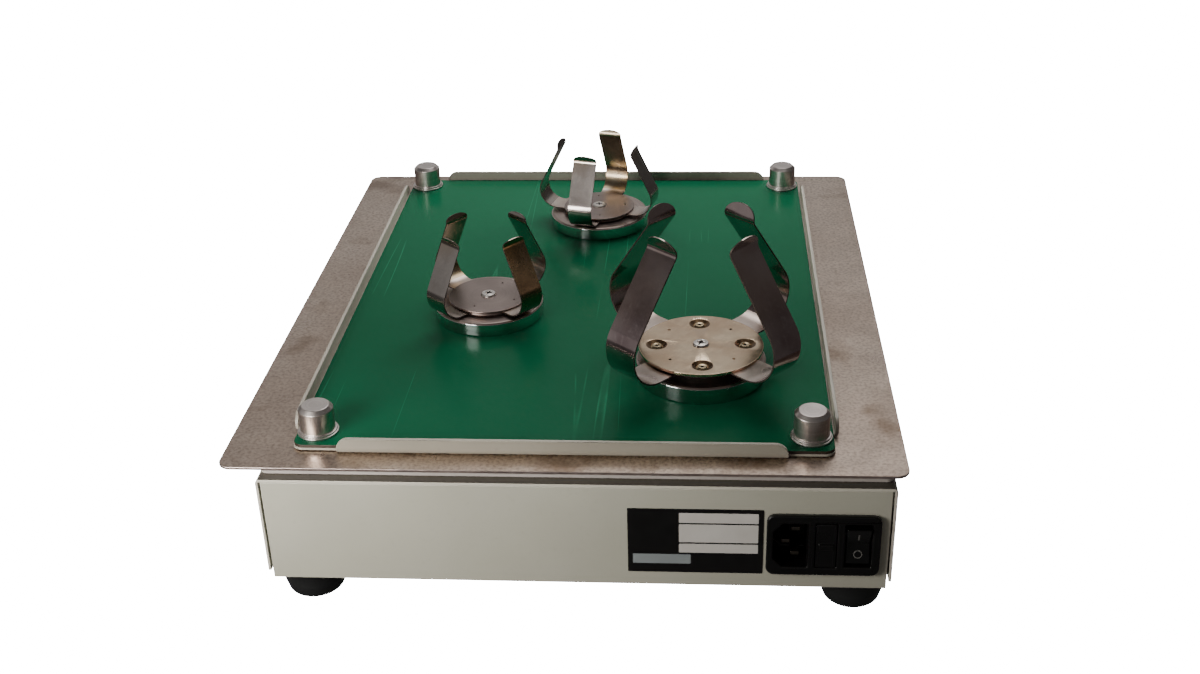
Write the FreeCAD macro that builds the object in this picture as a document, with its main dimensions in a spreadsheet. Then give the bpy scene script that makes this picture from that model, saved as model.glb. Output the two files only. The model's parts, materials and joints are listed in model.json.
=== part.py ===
import FreeCAD, Part
import math
import os
import Sketcher

# Orbital platform shaker with three magnetic spring clamps.
# Millimetres.  +Z up, floor at z = 0, inlet side faces +Y, control side faces -Y.
# The origin is the platform's centre at rest, at floor level; the crank axis is one throw away.

doc = FreeCAD.newDocument("orbital_shaker")
sheet = doc.addObject("Spreadsheet::Sheet", "Dims")

DIMS = {
    "sheet_thk": 1.5,        # case sheet metal
    "case_w": 300.0,         # cover, side to side
    "case_d": 342.0,         # cover, front to rear
    "case_h": 56.5,          # panel bottom to cover top
    "foot_h": 20.5,          # floor to panel bottom
    "side_lift": 4.0,        # cover side edge above panel bottom
    "panel_gap": 0.9,        # slot between panel and cover side
    "cover_r": 2.5,          # outside bend of the cover
    "deck_h": 3.5,           # raised deck on the cover
    "deck_set": 5.0,         # deck set back from the rear edge
    "deck_side": 1.0,        # deck set in at the sides
    "foot_r": 17.0,
    "foot_r_low": 14.0,
    "foot_x": 134.0,
    "foot_y": 147.5,
    "crank_x": 5.7,          # crank throw at rest
    "crank_y": -7.6,
    "main_hole": 28.5,       # opening over the drive hub
    "idler_hole": 25.0,      # opening over an idler hub
    "idler_x": 104.0,
    "idler_front": -112.0,
    "idler_rear": 122.0,
    "motor_x": -92.0,
    "motor_y": 42.0,
    "pulley_r": 45.0,
    "pinion_r": 15.0,
    "belt_gap": 0.3,
    "belt_thk": 1.6,
    "tray_w": 320.4,
    "tray_d": 365.2,
    "tray_thk": 1.5,
    "tray_top": 86.5,
    "tray_r": 6.5,
    "pan_w": 260.4,
    "pan_d": 340.4,
    "pan_thk": 1.6,
    "lip_h": 8.5,            # lip top above the tray
    "lip_x": 211.6,          # length of the front and rear lips
    "lip_y": 300.0,          # length of the side lips
    "lip_round": 6.5,        # rounded top corners of the lips
    "corner_in": 2.5,        # pan corner set in from the lip faces
    "corner_r": 5.0,
    "mat_thk": 1.6,
    "post_x": 117.3,
    "post_y": 156.0,
    "post_dx": 0.3,          # post pattern off the pan centre
    "post_dy": -1.4,
    "post_r": 8.4,
    "flange_r": 9.9,
    "flange_h": 2.0,
    "post_h": 14.7,
    "inlet_x": -117.0,
    "inlet_z": 46.1,
    "inlet_w": 53.0,
    "inlet_h": 33.6,
    "label_x": -57.3,
    "label_z": 46.3,
    "label_w": 63.6,
    "label_h": 36.2,
    "display_x": -34.0,
    "start_x": 18.0,
    "stop_x": 38.0,
    "knob_x": 72.0,
    "control_z": 27.0,       # control row above the panel bottom
    "screw_drop": 44.0,      # side screws below the cover top
    "big_x": -59.3,          # large clamp centre
    "big_y": 86.7,
    "big_turn": 47.0,
    "small_a_x": 57.2,
    "small_a_y": 20.7,
    "small_a_turn": 48.0,
    "small_b_x": 4.6,
    "small_b_y": -105.4,
    "small_b_turn": 75.0,
    "run_gap": 0.05,         # radial running clearance of shafts
    "big_span": 73.6,        # large strip: centre to the sharp corner of the bend
    "big_wide": 19.2,
    "big_thk": 0.8,
    "big_slant": 0.991,      # strip thickness measured level, across a leaning arm
    "big_crease": 27.1,
    "big_crease_z": 77.0,    # heights above the green mat
    "big_tip": 29.8,
    "big_tip_z": 84.0,
    "big_bend": 17.0,
    "big_round": 6.5,
    "big_cup_r": 32.7,       # magnet cup
    "big_cup_h": 9.3,
    "big_boss_r": 22.0,
    "big_boss_h": 13.4,
    "big_disc_r": 31.3,
    "big_disc_thk": 1.5,
    "rivet_at": 22.2,        # rivet circle of the large disc
    "rivet_r": 3.2,
    "small_span": 43.4,
    "small_wide": 14.6,
    "small_thk": 0.6,
    "small_slant": 0.671,
    "small_crease": 23.4,
    "small_crease_z": 48.8,
    "small_tip": 24.7,
    "small_tip_z": 52.1,
    "small_bend": 10.6,
    "small_round": 3.2,
    "small_cup_r": 29.8,
    "small_cup_h": 8.0,
    "small_boss_r": 20.0,
    "small_boss_h": 8.9,
    "small_disc_r": 21.7,
    "small_disc_thk": 1.0,
}


def fill_sheet():
    row = 1
    for name, value in DIMS.items():
        sheet.set("A%d" % row, name)
        sheet.set("B%d" % row, "%g" % value)
        sheet.setAlias("B%d" % row, name)
        row += 1
    doc.recompute()


class Names:
    """D.word gives the sheet reference for a driving dimension."""

    def __getattr__(self, name):
        if name not in DIMS:
            raise KeyError(name)
        return "Dims." + name


D = Names()
fill_sheet()

Z_BASE = D.foot_h                                   # panel bottom
Z_COVER = "(%s + %s)" % (D.foot_h, D.case_h)        # cover top
Z_TRAY = D.tray_top
Z_PAN = "(%s + %s)" % (D.tray_top, D.pan_thk)
Z_MAT = "(%s + %s + %s)" % (D.tray_top, D.pan_thk, D.mat_thk)
PARTS = []


# ---------------------------------------------------------------- helpers

def new_body(label):
    body = doc.addObject("PartDesign::Body", label)
    body.Label = label
    body.AllowCompound = True
    PARTS.append(body)
    return body


def place(obj, x="0", y="0", z="0", turn=None, axis="Z"):
    """Put a body at a point given from the crank axis, turned about one axis."""
    if turn is not None:
        unit = {"X": (1, 0, 0), "Y": (0, 1, 0), "Z": (0, 0, 1)}[axis]
        obj.Placement = FreeCAD.Placement(FreeCAD.Vector(), FreeCAD.Rotation(FreeCAD.Vector(*unit), 1))
        obj.setExpression("Placement.Rotation.Angle", str(turn))
    obj.setExpression("Placement.Base.x", "%s - %s" % (x, D.crank_x))
    obj.setExpression("Placement.Base.y", "%s - %s" % (y, D.crank_y))
    obj.setExpression("Placement.Base.z", str(z))
    return obj


def sketch(body, role="XY_Plane", lift="0"):
    plane = [f for f in body.Origin.OriginFeatures if f.Role == role][0]
    sk = body.newObject("Sketcher::SketchObject", "Sketch")
    sk.AttachmentSupport = [(plane, "")]
    sk.MapMode = "FlatFace"
    sk.setExpression("AttachmentOffset.Base.z", str(lift))
    return sk


def drive(sk, kind, refs, text, start=1.0):
    index = sk.addConstraint(Sketcher.Constraint(kind, *refs, start))
    sk.setExpression("Constraints[%d]" % index, str(text))


def poly(sk, points):
    """Closed polygon with every corner driven from the sketch origin."""
    first = sk.GeometryCount
    count = len(points)
    ring = []
    for i in range(count):
        angle = 2 * math.pi * i / count
        ring.append(FreeCAD.Vector(10 * math.cos(angle), 10 * math.sin(angle), 0))
    for i in range(count):
        sk.addGeometry(Part.LineSegment(ring[i], ring[(i + 1) % count]), False)
    for i in range(count):
        sk.addConstraint(Sketcher.Constraint("Coincident", first + i, 2, first + (i + 1) % count, 1))
    for i, (x, y) in enumerate(points):
        drive(sk, "DistanceX", (-1, 1, first + i, 1), x)
        drive(sk, "DistanceY", (-1, 1, first + i, 1), y)
    return sk


def rect(sk, x0, y0, x1, y1):
    return poly(sk, [(x0, y0), (x1, y0), (x1, y1), (x0, y1)])


def box_at(sk, w, h, x="0", y="0"):
    left = "%s - (%s) / 2" % (x, w)
    right = "%s + (%s) / 2" % (x, w)
    low = "%s - (%s) / 2" % (y, h)
    high = "%s + (%s) / 2" % (y, h)
    return rect(sk, left, low, right, high)


def circle(sk, x, y, r):
    index = sk.addGeometry(Part.Circle(FreeCAD.Vector(3, 2, 0), FreeCAD.Vector(0, 0, 1), 1.0), False)
    drive(sk, "DistanceX", (-1, 1, index, 3), x)
    drive(sk, "DistanceY", (-1, 1, index, 3), y)
    drive(sk, "Radius", (index,), r)
    return sk


def pad(body, sk, length, mid=False, back=False):
    feature = body.newObject("PartDesign::Pad", "Pad")
    feature.Profile = sk
    feature.setExpression("Length", str(length))
    if mid:
        feature.Midplane = True
    feature.Reversed = back
    sk.Visibility = False
    doc.recompute()
    return feature


def pocket(body, sk, length=None, back=False, mid=False):
    """Cut of a given depth, or right through; the volume has to drop."""
    before = body.Shape.Volume
    feature = body.newObject("PartDesign::Pocket", "Pocket")
    feature.Profile = sk
    if length is None:
        feature.Type = "ThroughAll"
        feature.Midplane = True
    else:
        feature.setExpression("Length", str(length))
        feature.Midplane = mid
    feature.Reversed = back
    doc.recompute()
    if body.Shape.Volume > before - 1e-6:
        raise RuntimeError(body.Label + ": a pocket cut nothing")
    return feature


def turned(label, profile):
    """Body of revolution about Z from (radius, height) corners."""
    body = new_body(label)
    sk = poly(sketch(body, "XZ_Plane"), profile)
    feature = body.newObject("PartDesign::Revolution", "Revolution")
    feature.Profile = sk
    feature.ReferenceAxis = (sk, ["V_Axis"])
    feature.Angle = 360
    doc.recompute()
    return body


def edge_names(shape, wanted):
    return ["Edge%d" % (i + 1) for i, edge in enumerate(shape.Edges) if wanted(edge)]


def dress(body, kind, size, wanted):
    """Fillet or Chamfer on the edges that the test picks."""
    names = edge_names(body.Tip.Shape, wanted)
    if not names:
        raise RuntimeError(body.Label + ": no edge to dress with a " + kind)
    base = body.Tip
    feature = body.newObject("PartDesign::" + kind, kind)
    feature.Base = (base, names)
    feature.setExpression("Size" if kind == "Chamfer" else "Radius", str(size))
    doc.recompute()
    return feature


def upright(edge):
    """True for a straight edge along Z."""
    ends = [v.Point for v in edge.Vertexes]
    if len(ends) != 2 or edge.Curve.TypeId != "Part::GeomLine":
        return False
    return abs(ends[0].x - ends[1].x) < 1e-6 and abs(ends[0].y - ends[1].y) < 1e-6


def along(edge, axis):
    ends = [v.Point for v in edge.Vertexes]
    if len(ends) != 2 or edge.Curve.TypeId != "Part::GeomLine":
        return False
    run = ends[1].sub(ends[0])
    parts = {"x": abs(run.x), "y": abs(run.y), "z": abs(run.z)}
    return parts[axis] > 0.999 * run.Length


def at_height(z):
    return lambda edge: abs(edge.BoundBox.ZMin - z) < 1e-4 and abs(edge.BoundBox.ZMax - z) < 1e-4


def discs(label, spots, stages, lift="0"):
    """Stacks of round pads on several centres; stages are (from, height, radius)."""
    body = new_body(label)
    for z, height, radius in stages:
        sk = sketch(body, lift=z)
        for x, y in spots:
            circle(sk, x, y, radius)
        pad(body, sk, height)
    place(body, z=lift)
    return body


def plate(label, w, d, thk, radius=None):
    body = new_body(label)
    pad(body, box_at(sketch(body), w, d), thk)
    if radius is not None:
        dress(body, "Fillet", radius, upright)
    return body


def round_holes(body, holes):
    """Through holes given as (x, y, radius)."""
    sk = sketch(body)
    for x, y, r in holes:
        circle(sk, x, y, r)
    return pocket(body, sk)


# ---------------------------------------------------------------- places shared by several pieces

IDLERS = [("-" + D.idler_x, D.idler_front), (D.idler_x, D.idler_front), ("0", D.idler_rear)]
CORNERS = [(a, b) for a in (-1, 1) for b in (-1, 1)]
FEET = [("%d * %s" % (a, D.foot_x), "%d * %s" % (b, D.foot_y)) for a, b in CORNERS]
POSTS = [("%d * %s + %s" % (a, D.post_x, D.post_dx), "%d * %s + %s" % (b, D.post_y, D.post_dy)) for a, b in CORNERS]
PANEL_W = "(%s - 2 * (%s + %s))" % (D.case_w, D.sheet_thk, D.panel_gap)
PANEL_H = "(%s - %s)" % (D.case_h, D.sheet_thk)
OPENINGS = [("0", "0", D.main_hole)] + [(x, y, D.idler_hole) for x, y in IDLERS]
FLOOR = "(%s + %s)" % (D.foot_h, D.sheet_thk)       # top of the base plate
SIDE_SCREWS = ("-140", "0", "140")


# ---------------------------------------------------------------- case

def base_plate():
    base = plate("base_plate", PANEL_W, "%s - 2 * %s" % (D.case_d, D.sheet_thk), D.sheet_thk)
    round_holes(base, [(x, y, "2.2") for x, y in FEET])
    vents = sketch(base)
    for i in range(8):
        box_at(vents, "4", "46", x="%d" % (-42 + 12 * i), y="-112")
    pocket(base, vents)
    for side in (-1, 1):
        tabs = sketch(base, "YZ_Plane", lift="%d * (%s / 2 - %s)" % (side, D.case_w, D.sheet_thk))
        for y in SIDE_SCREWS:
            rect(tabs, y + " - 9", "0", y + " + 9", "20")
            circle(tabs, y, "%s - %s" % (D.case_h, D.screw_drop), "2.05")
        pad(base, tabs, "2.6", back=(side > 0))
    place(base, z=Z_BASE)


def control_cuts(sk, window_w, window_h, button_r):
    """Openings for the display, the two buttons and the knob spindle."""
    box_at(sk, window_w, window_h, x=D.display_x, y=D.control_z)
    circle(sk, D.start_x, D.control_z, button_r)
    circle(sk, D.stop_x, D.control_z, button_r)
    circle(sk, D.knob_x, D.control_z, "3.5")
    return sk


def panels():
    rear = new_body("rear_panel")
    pad(rear, box_at(sketch(rear, "XZ_Plane"), PANEL_W, PANEL_H, y=PANEL_H + " / 2"), D.sheet_thk)
    hole = sketch(rear, "XZ_Plane")
    box_at(hole, "47.4", "28.4", x=D.inlet_x, y="%s - %s" % (D.inlet_z, D.foot_h))
    pocket(rear, hole)
    dress(rear, "Fillet", "1.2", lambda e: along(e, "x") and e.BoundBox.ZMax < 1e-3 and e.BoundBox.YMax < 0)
    place(rear, y="%s / 2" % D.case_d, z=Z_BASE)

    front = new_body("front_panel")
    pad(front, box_at(sketch(front, "XZ_Plane"), PANEL_W, PANEL_H, y=PANEL_H + " / 2"), D.sheet_thk)
    pocket(front, control_cuts(sketch(front, "XZ_Plane"), "50", "20", "5.5"))
    place(front, y="-%s / 2 + %s" % (D.case_d, D.sheet_thk), z=Z_BASE)


def top_cover():
    """Sheet bent down at both sides, open at the front and the rear."""
    cover = new_body("top_cover")
    half = "%s / 2" % D.case_w
    inner = "(%s / 2 - %s)" % (D.case_w, D.sheet_thk)
    under = "-" + D.sheet_thk
    low = "-(%s - %s)" % (D.case_h, D.side_lift)
    outline = [("-" + half, low), ("-" + inner, low), ("-" + inner, under), (inner, under),
               (inner, low), (half, low), (half, "0"), ("-" + half, "0")]
    pad(cover, poly(sketch(cover, "XZ_Plane"), outline), D.case_d, mid=True)
    dress(cover, "Fillet", D.cover_r, lambda e: along(e, "y") and abs(e.BoundBox.ZMax) < 1e-3)
    round_holes(cover, OPENINGS)
    cut = sketch(cover, "YZ_Plane")
    for y in SIDE_SCREWS:
        circle(cut, y, "-" + D.screw_drop, "2.1")
    pocket(cover, cut)
    place(cover, z=Z_COVER)


def cover_deck():
    deck = plate("cover_deck", "%s - 2 * %s" % (D.case_w, D.deck_side), "%s - 2 * %s" % (D.case_d, D.deck_set),
                 D.deck_h, "4")
    round_holes(deck, OPENINGS)
    place(deck, z=Z_COVER)


def feet():
    names = {(-1, -1): "foot_front_left", (1, -1): "foot_front_right",
             (-1, 1): "foot_rear_left", (1, 1): "foot_rear_right"}
    for a, b in CORNERS:
        profile = [("2.2", "4"), ("6", "4"), ("6", "0"), ("%s - 1.5" % D.foot_r_low, "0"), (D.foot_r_low, "1.5"),
                   (D.foot_r, "%s - 3" % D.foot_h), (D.foot_r, D.foot_h), ("2.2", D.foot_h)]
        foot = turned(names[(a, b)], profile)
        place(foot, x="%d * %s" % (a, D.foot_x), y="%d * %s" % (b, D.foot_y))
    discs("foot_screws", FEET, [("1.4", "2.6", "4"), ("4", "%s - 1" % D.foot_h, "2.0")])


def cover_screws():
    body = new_body("cover_screws")
    for side in (-1, 1):
        outer = "%d * %s / 2" % (side, D.case_w)
        head = sketch(body, "YZ_Plane", lift=outer)
        shank = sketch(body, "YZ_Plane", lift=outer)
        for y in SIDE_SCREWS:
            circle(head, y, "0", "3.8")
            circle(shank, y, "0", "2.0")
        pad(body, head, "1.6", back=(side < 0))
        pad(body, shank, "5", back=(side > 0))
    place(body, z="%s - %s" % (Z_COVER, D.screw_drop))


# ---------------------------------------------------------------- rear connector module and label

def inlet_module():
    body = new_body("inlet_body")
    flange = box_at(sketch(body, "XZ_Plane"), D.inlet_w, D.inlet_h)
    pad(body, flange, "2.5", back=True)
    dress(body, "Fillet", "4", lambda e: along(e, "y"))
    pad(body, box_at(sketch(body, "XZ_Plane"), "47", "28"), "28")
    socket = sketch(body, "XZ_Plane", lift="-2.5")
    poly(socket, [("7.2", "-12.2"), ("19.0", "-12.2"), ("23.4", "-7.6"), ("23.4", "7.6"),
                  ("19.0", "12.2"), ("7.2", "12.2")])
    pocket(body, socket, "17", back=True)
    drawer = box_at(sketch(body, "XZ_Plane", lift="-2.5"), "10", "25", x="-1.2")
    pocket(body, drawer, "26", back=True)
    rocker = box_at(sketch(body, "XZ_Plane", lift="-2.5"), "12.4", "24", x="-16.2")
    pocket(body, rocker, "22", back=True)
    place(body, x=D.inlet_x, y="%s / 2" % D.case_d, z=D.inlet_z)

    pins = new_body("inlet_pins")
    blades = sketch(pins, "XZ_Plane")
    box_at(blades, "4", "2", x="12.9", y="-7")
    box_at(blades, "4", "2", x="12.9", y="7")
    box_at(blades, "4", "2", x="17.4", y="0")
    pad(pins, blades, "13")
    place(pins, x=D.inlet_x, y="%s / 2 - 1.5" % D.case_d, z=D.inlet_z)


def rocker_and_drawer():
    key = new_body("rocker_switch")
    profile = [("1.5", "-10.2"), ("-0.6", "0"), ("3.6", "10.2"), ("-6", "9.4"), ("-10", "0"), ("-6", "-9.4")]
    pad(key, poly(sketch(key, "YZ_Plane"), profile), "11.6", mid=True)
    place(key, x="%s - 16.2" % D.inlet_x, y="%s / 2 + 0.4" % D.case_d, z=D.inlet_z)

    tray = new_body("fuse_drawer")
    pad(tray, box_at(sketch(tray, "XZ_Plane"), "9.4", "24.4"), "24")
    wells = sketch(tray, "YZ_Plane")
    rect(wells, "-22", "-10", "-2", "-1")
    rect(wells, "-22", "1", "-2", "10")
    pocket(tray, wells, "5.2")
    grip = box_at(sketch(tray, "XZ_Plane"), "7", "3")
    pad(tray, grip, "1.2", back=True)
    place(tray, x="%s - 1.2" % D.inlet_x, y="%s / 2 + 2.5" % D.case_d, z=D.inlet_z)


def rating_label():
    label = new_body("rating_label")
    pad(label, box_at(sketch(label, "XZ_Plane"), D.label_w, D.label_h), "0.3", back=True)
    place(label, x=D.label_x, y="%s / 2" % D.case_d, z=D.label_z)


# ---------------------------------------------------------------- front controls

def overlay_and_display():
    face = "-%s / 2" % D.case_d
    overlay = new_body("control_overlay")
    pad(overlay, box_at(sketch(overlay, "XZ_Plane"), "176", "42", y=D.control_z), "0.6")
    pocket(overlay, control_cuts(sketch(overlay, "XZ_Plane"), "46", "16", "5.3"))
    place(overlay, y=face, z=Z_BASE)

    window = new_body("display_window")
    pad(window, box_at(sketch(window, "XZ_Plane"), "45.6", "15.6"), "0.6")
    pad(window, box_at(sketch(window, "XZ_Plane"), "49.6", "19.6"), "1.5", back=True)
    place(window, x=D.display_x, y=face, z="%s + %s" % (Z_BASE, D.control_z))

    board = new_body("control_board")
    pad(board, box_at(sketch(board, "XZ_Plane"), "170", "44", y=D.control_z), "1.6", back=True)
    pad(board, box_at(sketch(board, "XZ_Plane"), "48", "18", x=D.display_x, y=D.control_z), "9")
    pad(board, box_at(sketch(board, "XZ_Plane"), "14", "14", x=D.knob_x, y=D.control_z), "8")
    keys = sketch(board, "XZ_Plane")
    for x in (D.start_x, D.stop_x):
        box_at(keys, "7", "7", x=x, y=D.control_z)
    pad(board, keys, "8.2")
    place(board, y=face + " + 13", z=Z_BASE)


def hand_controls():
    """Two push buttons and the speed knob, turned about the axis out of the front panel."""
    spot = dict(y="-%s / 2" % D.case_d, z="%s + %s" % (Z_BASE, D.control_z), turn=90, axis="X")
    for name, x in (("start_button", D.start_x), ("stop_button", D.stop_x)):
        button = turned(name, [("0", "-3.6"), ("6.6", "-3.6"), ("6.6", "-2.0"), ("5.0", "-2.0"), ("5.0", "2.0"),
                               ("4.4", "2.6"), ("0", "2.6")])
        place(button, x=x, **spot)

    knob = turned("speed_knob", [("0", "-5"), ("3.0", "-5"), ("3.0", "1.2"), ("12.5", "1.2"), ("12.5", "4"),
                                 ("10.5", "14"), ("9.5", "15"), ("0", "15")])
    mark = box_at(sketch(knob, lift="13.6"), "1.2", "8", y="5.5")
    pocket(knob, mark, "2", back=True)
    place(knob, x=D.knob_x, **spot)


# ---------------------------------------------------------------- drive

def housings():
    housing = turned("drive_housing", [("14", "3"), ("14", "32"), ("22", "32"), ("22", "4"), ("33", "4"),
                                       ("33", "0"), ("10", "0"), ("10", "3")])
    place(housing, z=FLOOR)
    idler = discs("idler_housings", IDLERS, [("0", "3", "22"), ("3", "31", "15")], lift=FLOOR)
    bores = sketch(idler, lift="2")
    for x, y in IDLERS:
        circle(bores, x, y, "11")
    pocket(idler, bores, "40", back=True)


def bearing_rings(body, spots, outer, bore, lifts, height):
    for lift in lifts:
        sk = sketch(body, lift=lift)
        for x, y in spots:
            circle(sk, x, y, outer)
            circle(sk, x, y, bore + " + " + D.run_gap)
        pad(body, sk, height)


def cranks():
    """Main crank with its belt wheel, and three idler cranks that keep the platform square."""
    rings = new_body("shaft_bearings")
    bearing_rings(rings, [("0", "0")], "14", "6", ("3", "24"), "8")
    bearing_rings(rings, IDLERS, "11", "4", ("2", "26"), "7")
    place(rings, z=FLOOR)

    shaft = discs("crank_shaft", [("0", "0")], [("25", "30", "6"), ("55", "2", "8")])
    pad(shaft, circle(sketch(shaft, lift="57"), D.crank_x, D.crank_y, "5"), "24.5")
    place(shaft)

    wheel = turned("drive_pulley", [("8", "56"), ("14", "56"), ("14", "58"), (D.pulley_r, "58"),
                                    (D.pulley_r, "66"), ("8", "66")])
    pad(wheel, circle(sketch(wheel, lift="57"), "0", "0", "16"), "9")
    round_holes(wheel, [(D.crank_x, D.crank_y, "5")])
    lobe = poly(sketch(wheel, lift="66"), [("-14", "26"), ("-34", "20"), ("-40", "2"), ("-36", "-12"),
                                           ("-26", "-8"), ("-24", "2"), ("-12", "14")])
    pad(wheel, lobe, "5")
    place(wheel)

    for i, (x, y) in enumerate(IDLERS):
        crank = discs("idler_crank_%d" % (i + 1), [("0", "0")], [("25", "33", "4"), ("58", "6", "18")])
        pad(crank, circle(sketch(crank, lift="64"), D.crank_x, D.crank_y, "4"), "17.5")
        place(crank, x=x, y=y)


def motor():
    can = discs("motor_body", [("0", "0")], [("0", "28", "25"), ("28", "3", "9")])
    round_holes(can, [("0", "0", "3.1")])
    place(can, x=D.motor_x, y=D.motor_y, z=FLOOR)
    bracket = plate("motor_bracket", "70", "64", "3", "6")
    round_holes(bracket, [("0", "0", "9.2")])
    legs = sketch(bracket)
    box_at(legs, "4", "60", x="-33")
    box_at(legs, "4", "60", x="33")
    pad(bracket, legs, "28", back=True)
    place(bracket, x=D.motor_x, y=D.motor_y, z=FLOOR + " + 28")
    spindle = discs("motor_shaft", [("0", "0")], [("30", "36", "3")])
    place(spindle, x=D.motor_x, y=D.motor_y)
    pinion = turned("motor_pulley", [("3", "56"), ("7", "56"), ("7", "58"), (D.pinion_r, "58"), (D.pinion_r, "66"),
                                     ("3", "66")])
    place(pinion, x=D.motor_x, y=D.motor_y)
    supply = plate("power_supply", "74", "110", "34", "2")
    place(supply, x="92", y="78", z=FLOOR)


def belt():
    """Flat belt loop on the big pulley (origin) and the motor pulley (along +X of the loop)."""
    run = "sqrt(%s ^ 2 + %s ^ 2)" % (D.motor_x, D.motor_y)
    body = new_body("drive_belt")
    for grow, cut in (("%s + %s" % (D.belt_gap, D.belt_thk), False), (D.belt_gap, True)):
        big = "(%s + %s)" % (D.pulley_r, grow)
        small = "(%s + %s)" % (D.pinion_r, grow)
        cos_b = "((%s - %s) / %s)" % (D.pulley_r, D.pinion_r, run)
        sin_b = "sqrt(1 - %s ^ 2)" % cos_b
        quad = [("%s * %s" % (big, cos_b), "-%s * %s" % (big, sin_b)),
                ("%s + %s * %s" % (run, small, cos_b), "-%s * %s" % (small, sin_b)),
                ("%s + %s * %s" % (run, small, cos_b), "%s * %s" % (small, sin_b)),
                ("%s * %s" % (big, cos_b), "%s * %s" % (big, sin_b))]
        shapes = [lambda sk: circle(sk, "0", "0", big), lambda sk: circle(sk, run, "0", small),
                  lambda sk: poly(sk, quad)]
        for draw in (shapes[0], shapes[2], shapes[1]):
            sk = draw(sketch(body))
            if cut:
                pocket(body, sk, "7", back=True)
            else:
                pad(body, sk, "7")
    place(body, z="58.5", turn="atan2(%s; %s)" % (D.motor_y, D.motor_x))


# ---------------------------------------------------------------- platform

AT_CRANK = dict(x=D.crank_x, y=D.crank_y)           # the platform's centre, seen from the crank axis


def platform_frame():
    carrier = plate("carrier_plate", "250", "276", "3", "14")
    windows = sketch(carrier)
    for a, b in CORNERS:
        box_at(windows, "60", "66", x="%d * 52" % a, y="%d * 58" % b)
    pocket(carrier, windows)
    place(carrier, z="82", **AT_CRANK)

    hubs = new_body("platform_hubs")
    for spots, outer, bore in (([("0", "0")], "17", "14"), (IDLERS, "13.5", "11")):
        sk = sketch(hubs, lift="68")
        for x, y in spots:
            circle(sk, x, y, outer)
            circle(sk, x, y, bore)
        pad(hubs, sk, "14")
    place(hubs, **AT_CRANK)

    rings = new_body("hub_bearings")
    bearing_rings(rings, [("0", "0")], "14", "5", ("71",), "8")
    bearing_rings(rings, IDLERS, "11", "4", ("71",), "7")
    place(rings, **AT_CRANK)

    tray = plate("platform_tray", D.tray_w, D.tray_d, D.tray_thk, D.tray_r)
    round_holes(tray, [(x, y, "3.2") for x, y in POSTS])
    place(tray, z="%s - %s" % (Z_TRAY, D.tray_thk), **AT_CRANK)


def pan_and_mat():
    """Shallow pan whose four lips stop short of the corners, and the sheet that lies in it."""
    across = "%s - 2 * %s" % (D.pan_w, D.corner_in)
    deep = "%s - 2 * %s" % (D.pan_d, D.corner_in)
    pan = plate("pan", across, deep, D.pan_thk, D.corner_r)
    for reach, height in (("4", D.pan_thk), (D.pan_thk, D.lip_h)):
        for side in ("-1", "1"):
            near = "%s * (%s / 2 - %s)" % (side, D.pan_d, reach)
            far = "%s * %s / 2" % (side, D.pan_d)
            pad(pan, rect(sketch(pan), "-%s / 2" % D.lip_x, near, "%s / 2" % D.lip_x, far), height)
            near = "%s * (%s / 2 - %s)" % (side, D.pan_w, reach)
            far = "%s * %s / 2" % (side, D.pan_w)
            pad(pan, rect(sketch(pan), near, "-%s / 2" % D.lip_y, far, "%s / 2" % D.lip_y), height)
    dress(pan, "Fillet", D.lip_round, lambda e: at_height(DIMS["lip_h"])(e) and e.Length < 2)
    round_holes(pan, [(x, y, "3.2") for x, y in POSTS])
    place(pan, z=Z_TRAY, **AT_CRANK)

    mat = plate("green_mat", across + " - 0.6", deep + " - 0.6", D.mat_thk, D.corner_r)
    round_holes(mat, [(x, y, "3.2") for x, y in POSTS])
    place(mat, z=Z_PAN, **AT_CRANK)


def posts():
    shaft_h = "%s - %s" % (D.post_h, D.flange_h)
    body = discs("corner_posts", POSTS, [("0", D.flange_h, D.flange_r), (D.flange_h, shaft_h, D.post_r)])
    dress(body, "Chamfer", "1.9", at_height(DIMS["post_h"]))
    studs = sketch(body, lift="-7.5")
    for x, y in POSTS:
        circle(studs, x, y, "3")
    pad(body, studs, "7.5")
    place(body, z=Z_MAT, **AT_CRANK)

    nuts = new_body("post_nuts")
    sk = sketch(nuts)
    for x, y in POSTS:
        circle(sk, x, y, "6")
        circle(sk, x, y, "3")
    pad(nuts, sk, "2.8")
    place(nuts, z="%s - %s - 2.8" % (Z_TRAY, D.tray_thk), **AT_CRANK)


# ---------------------------------------------------------------- clamps

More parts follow.
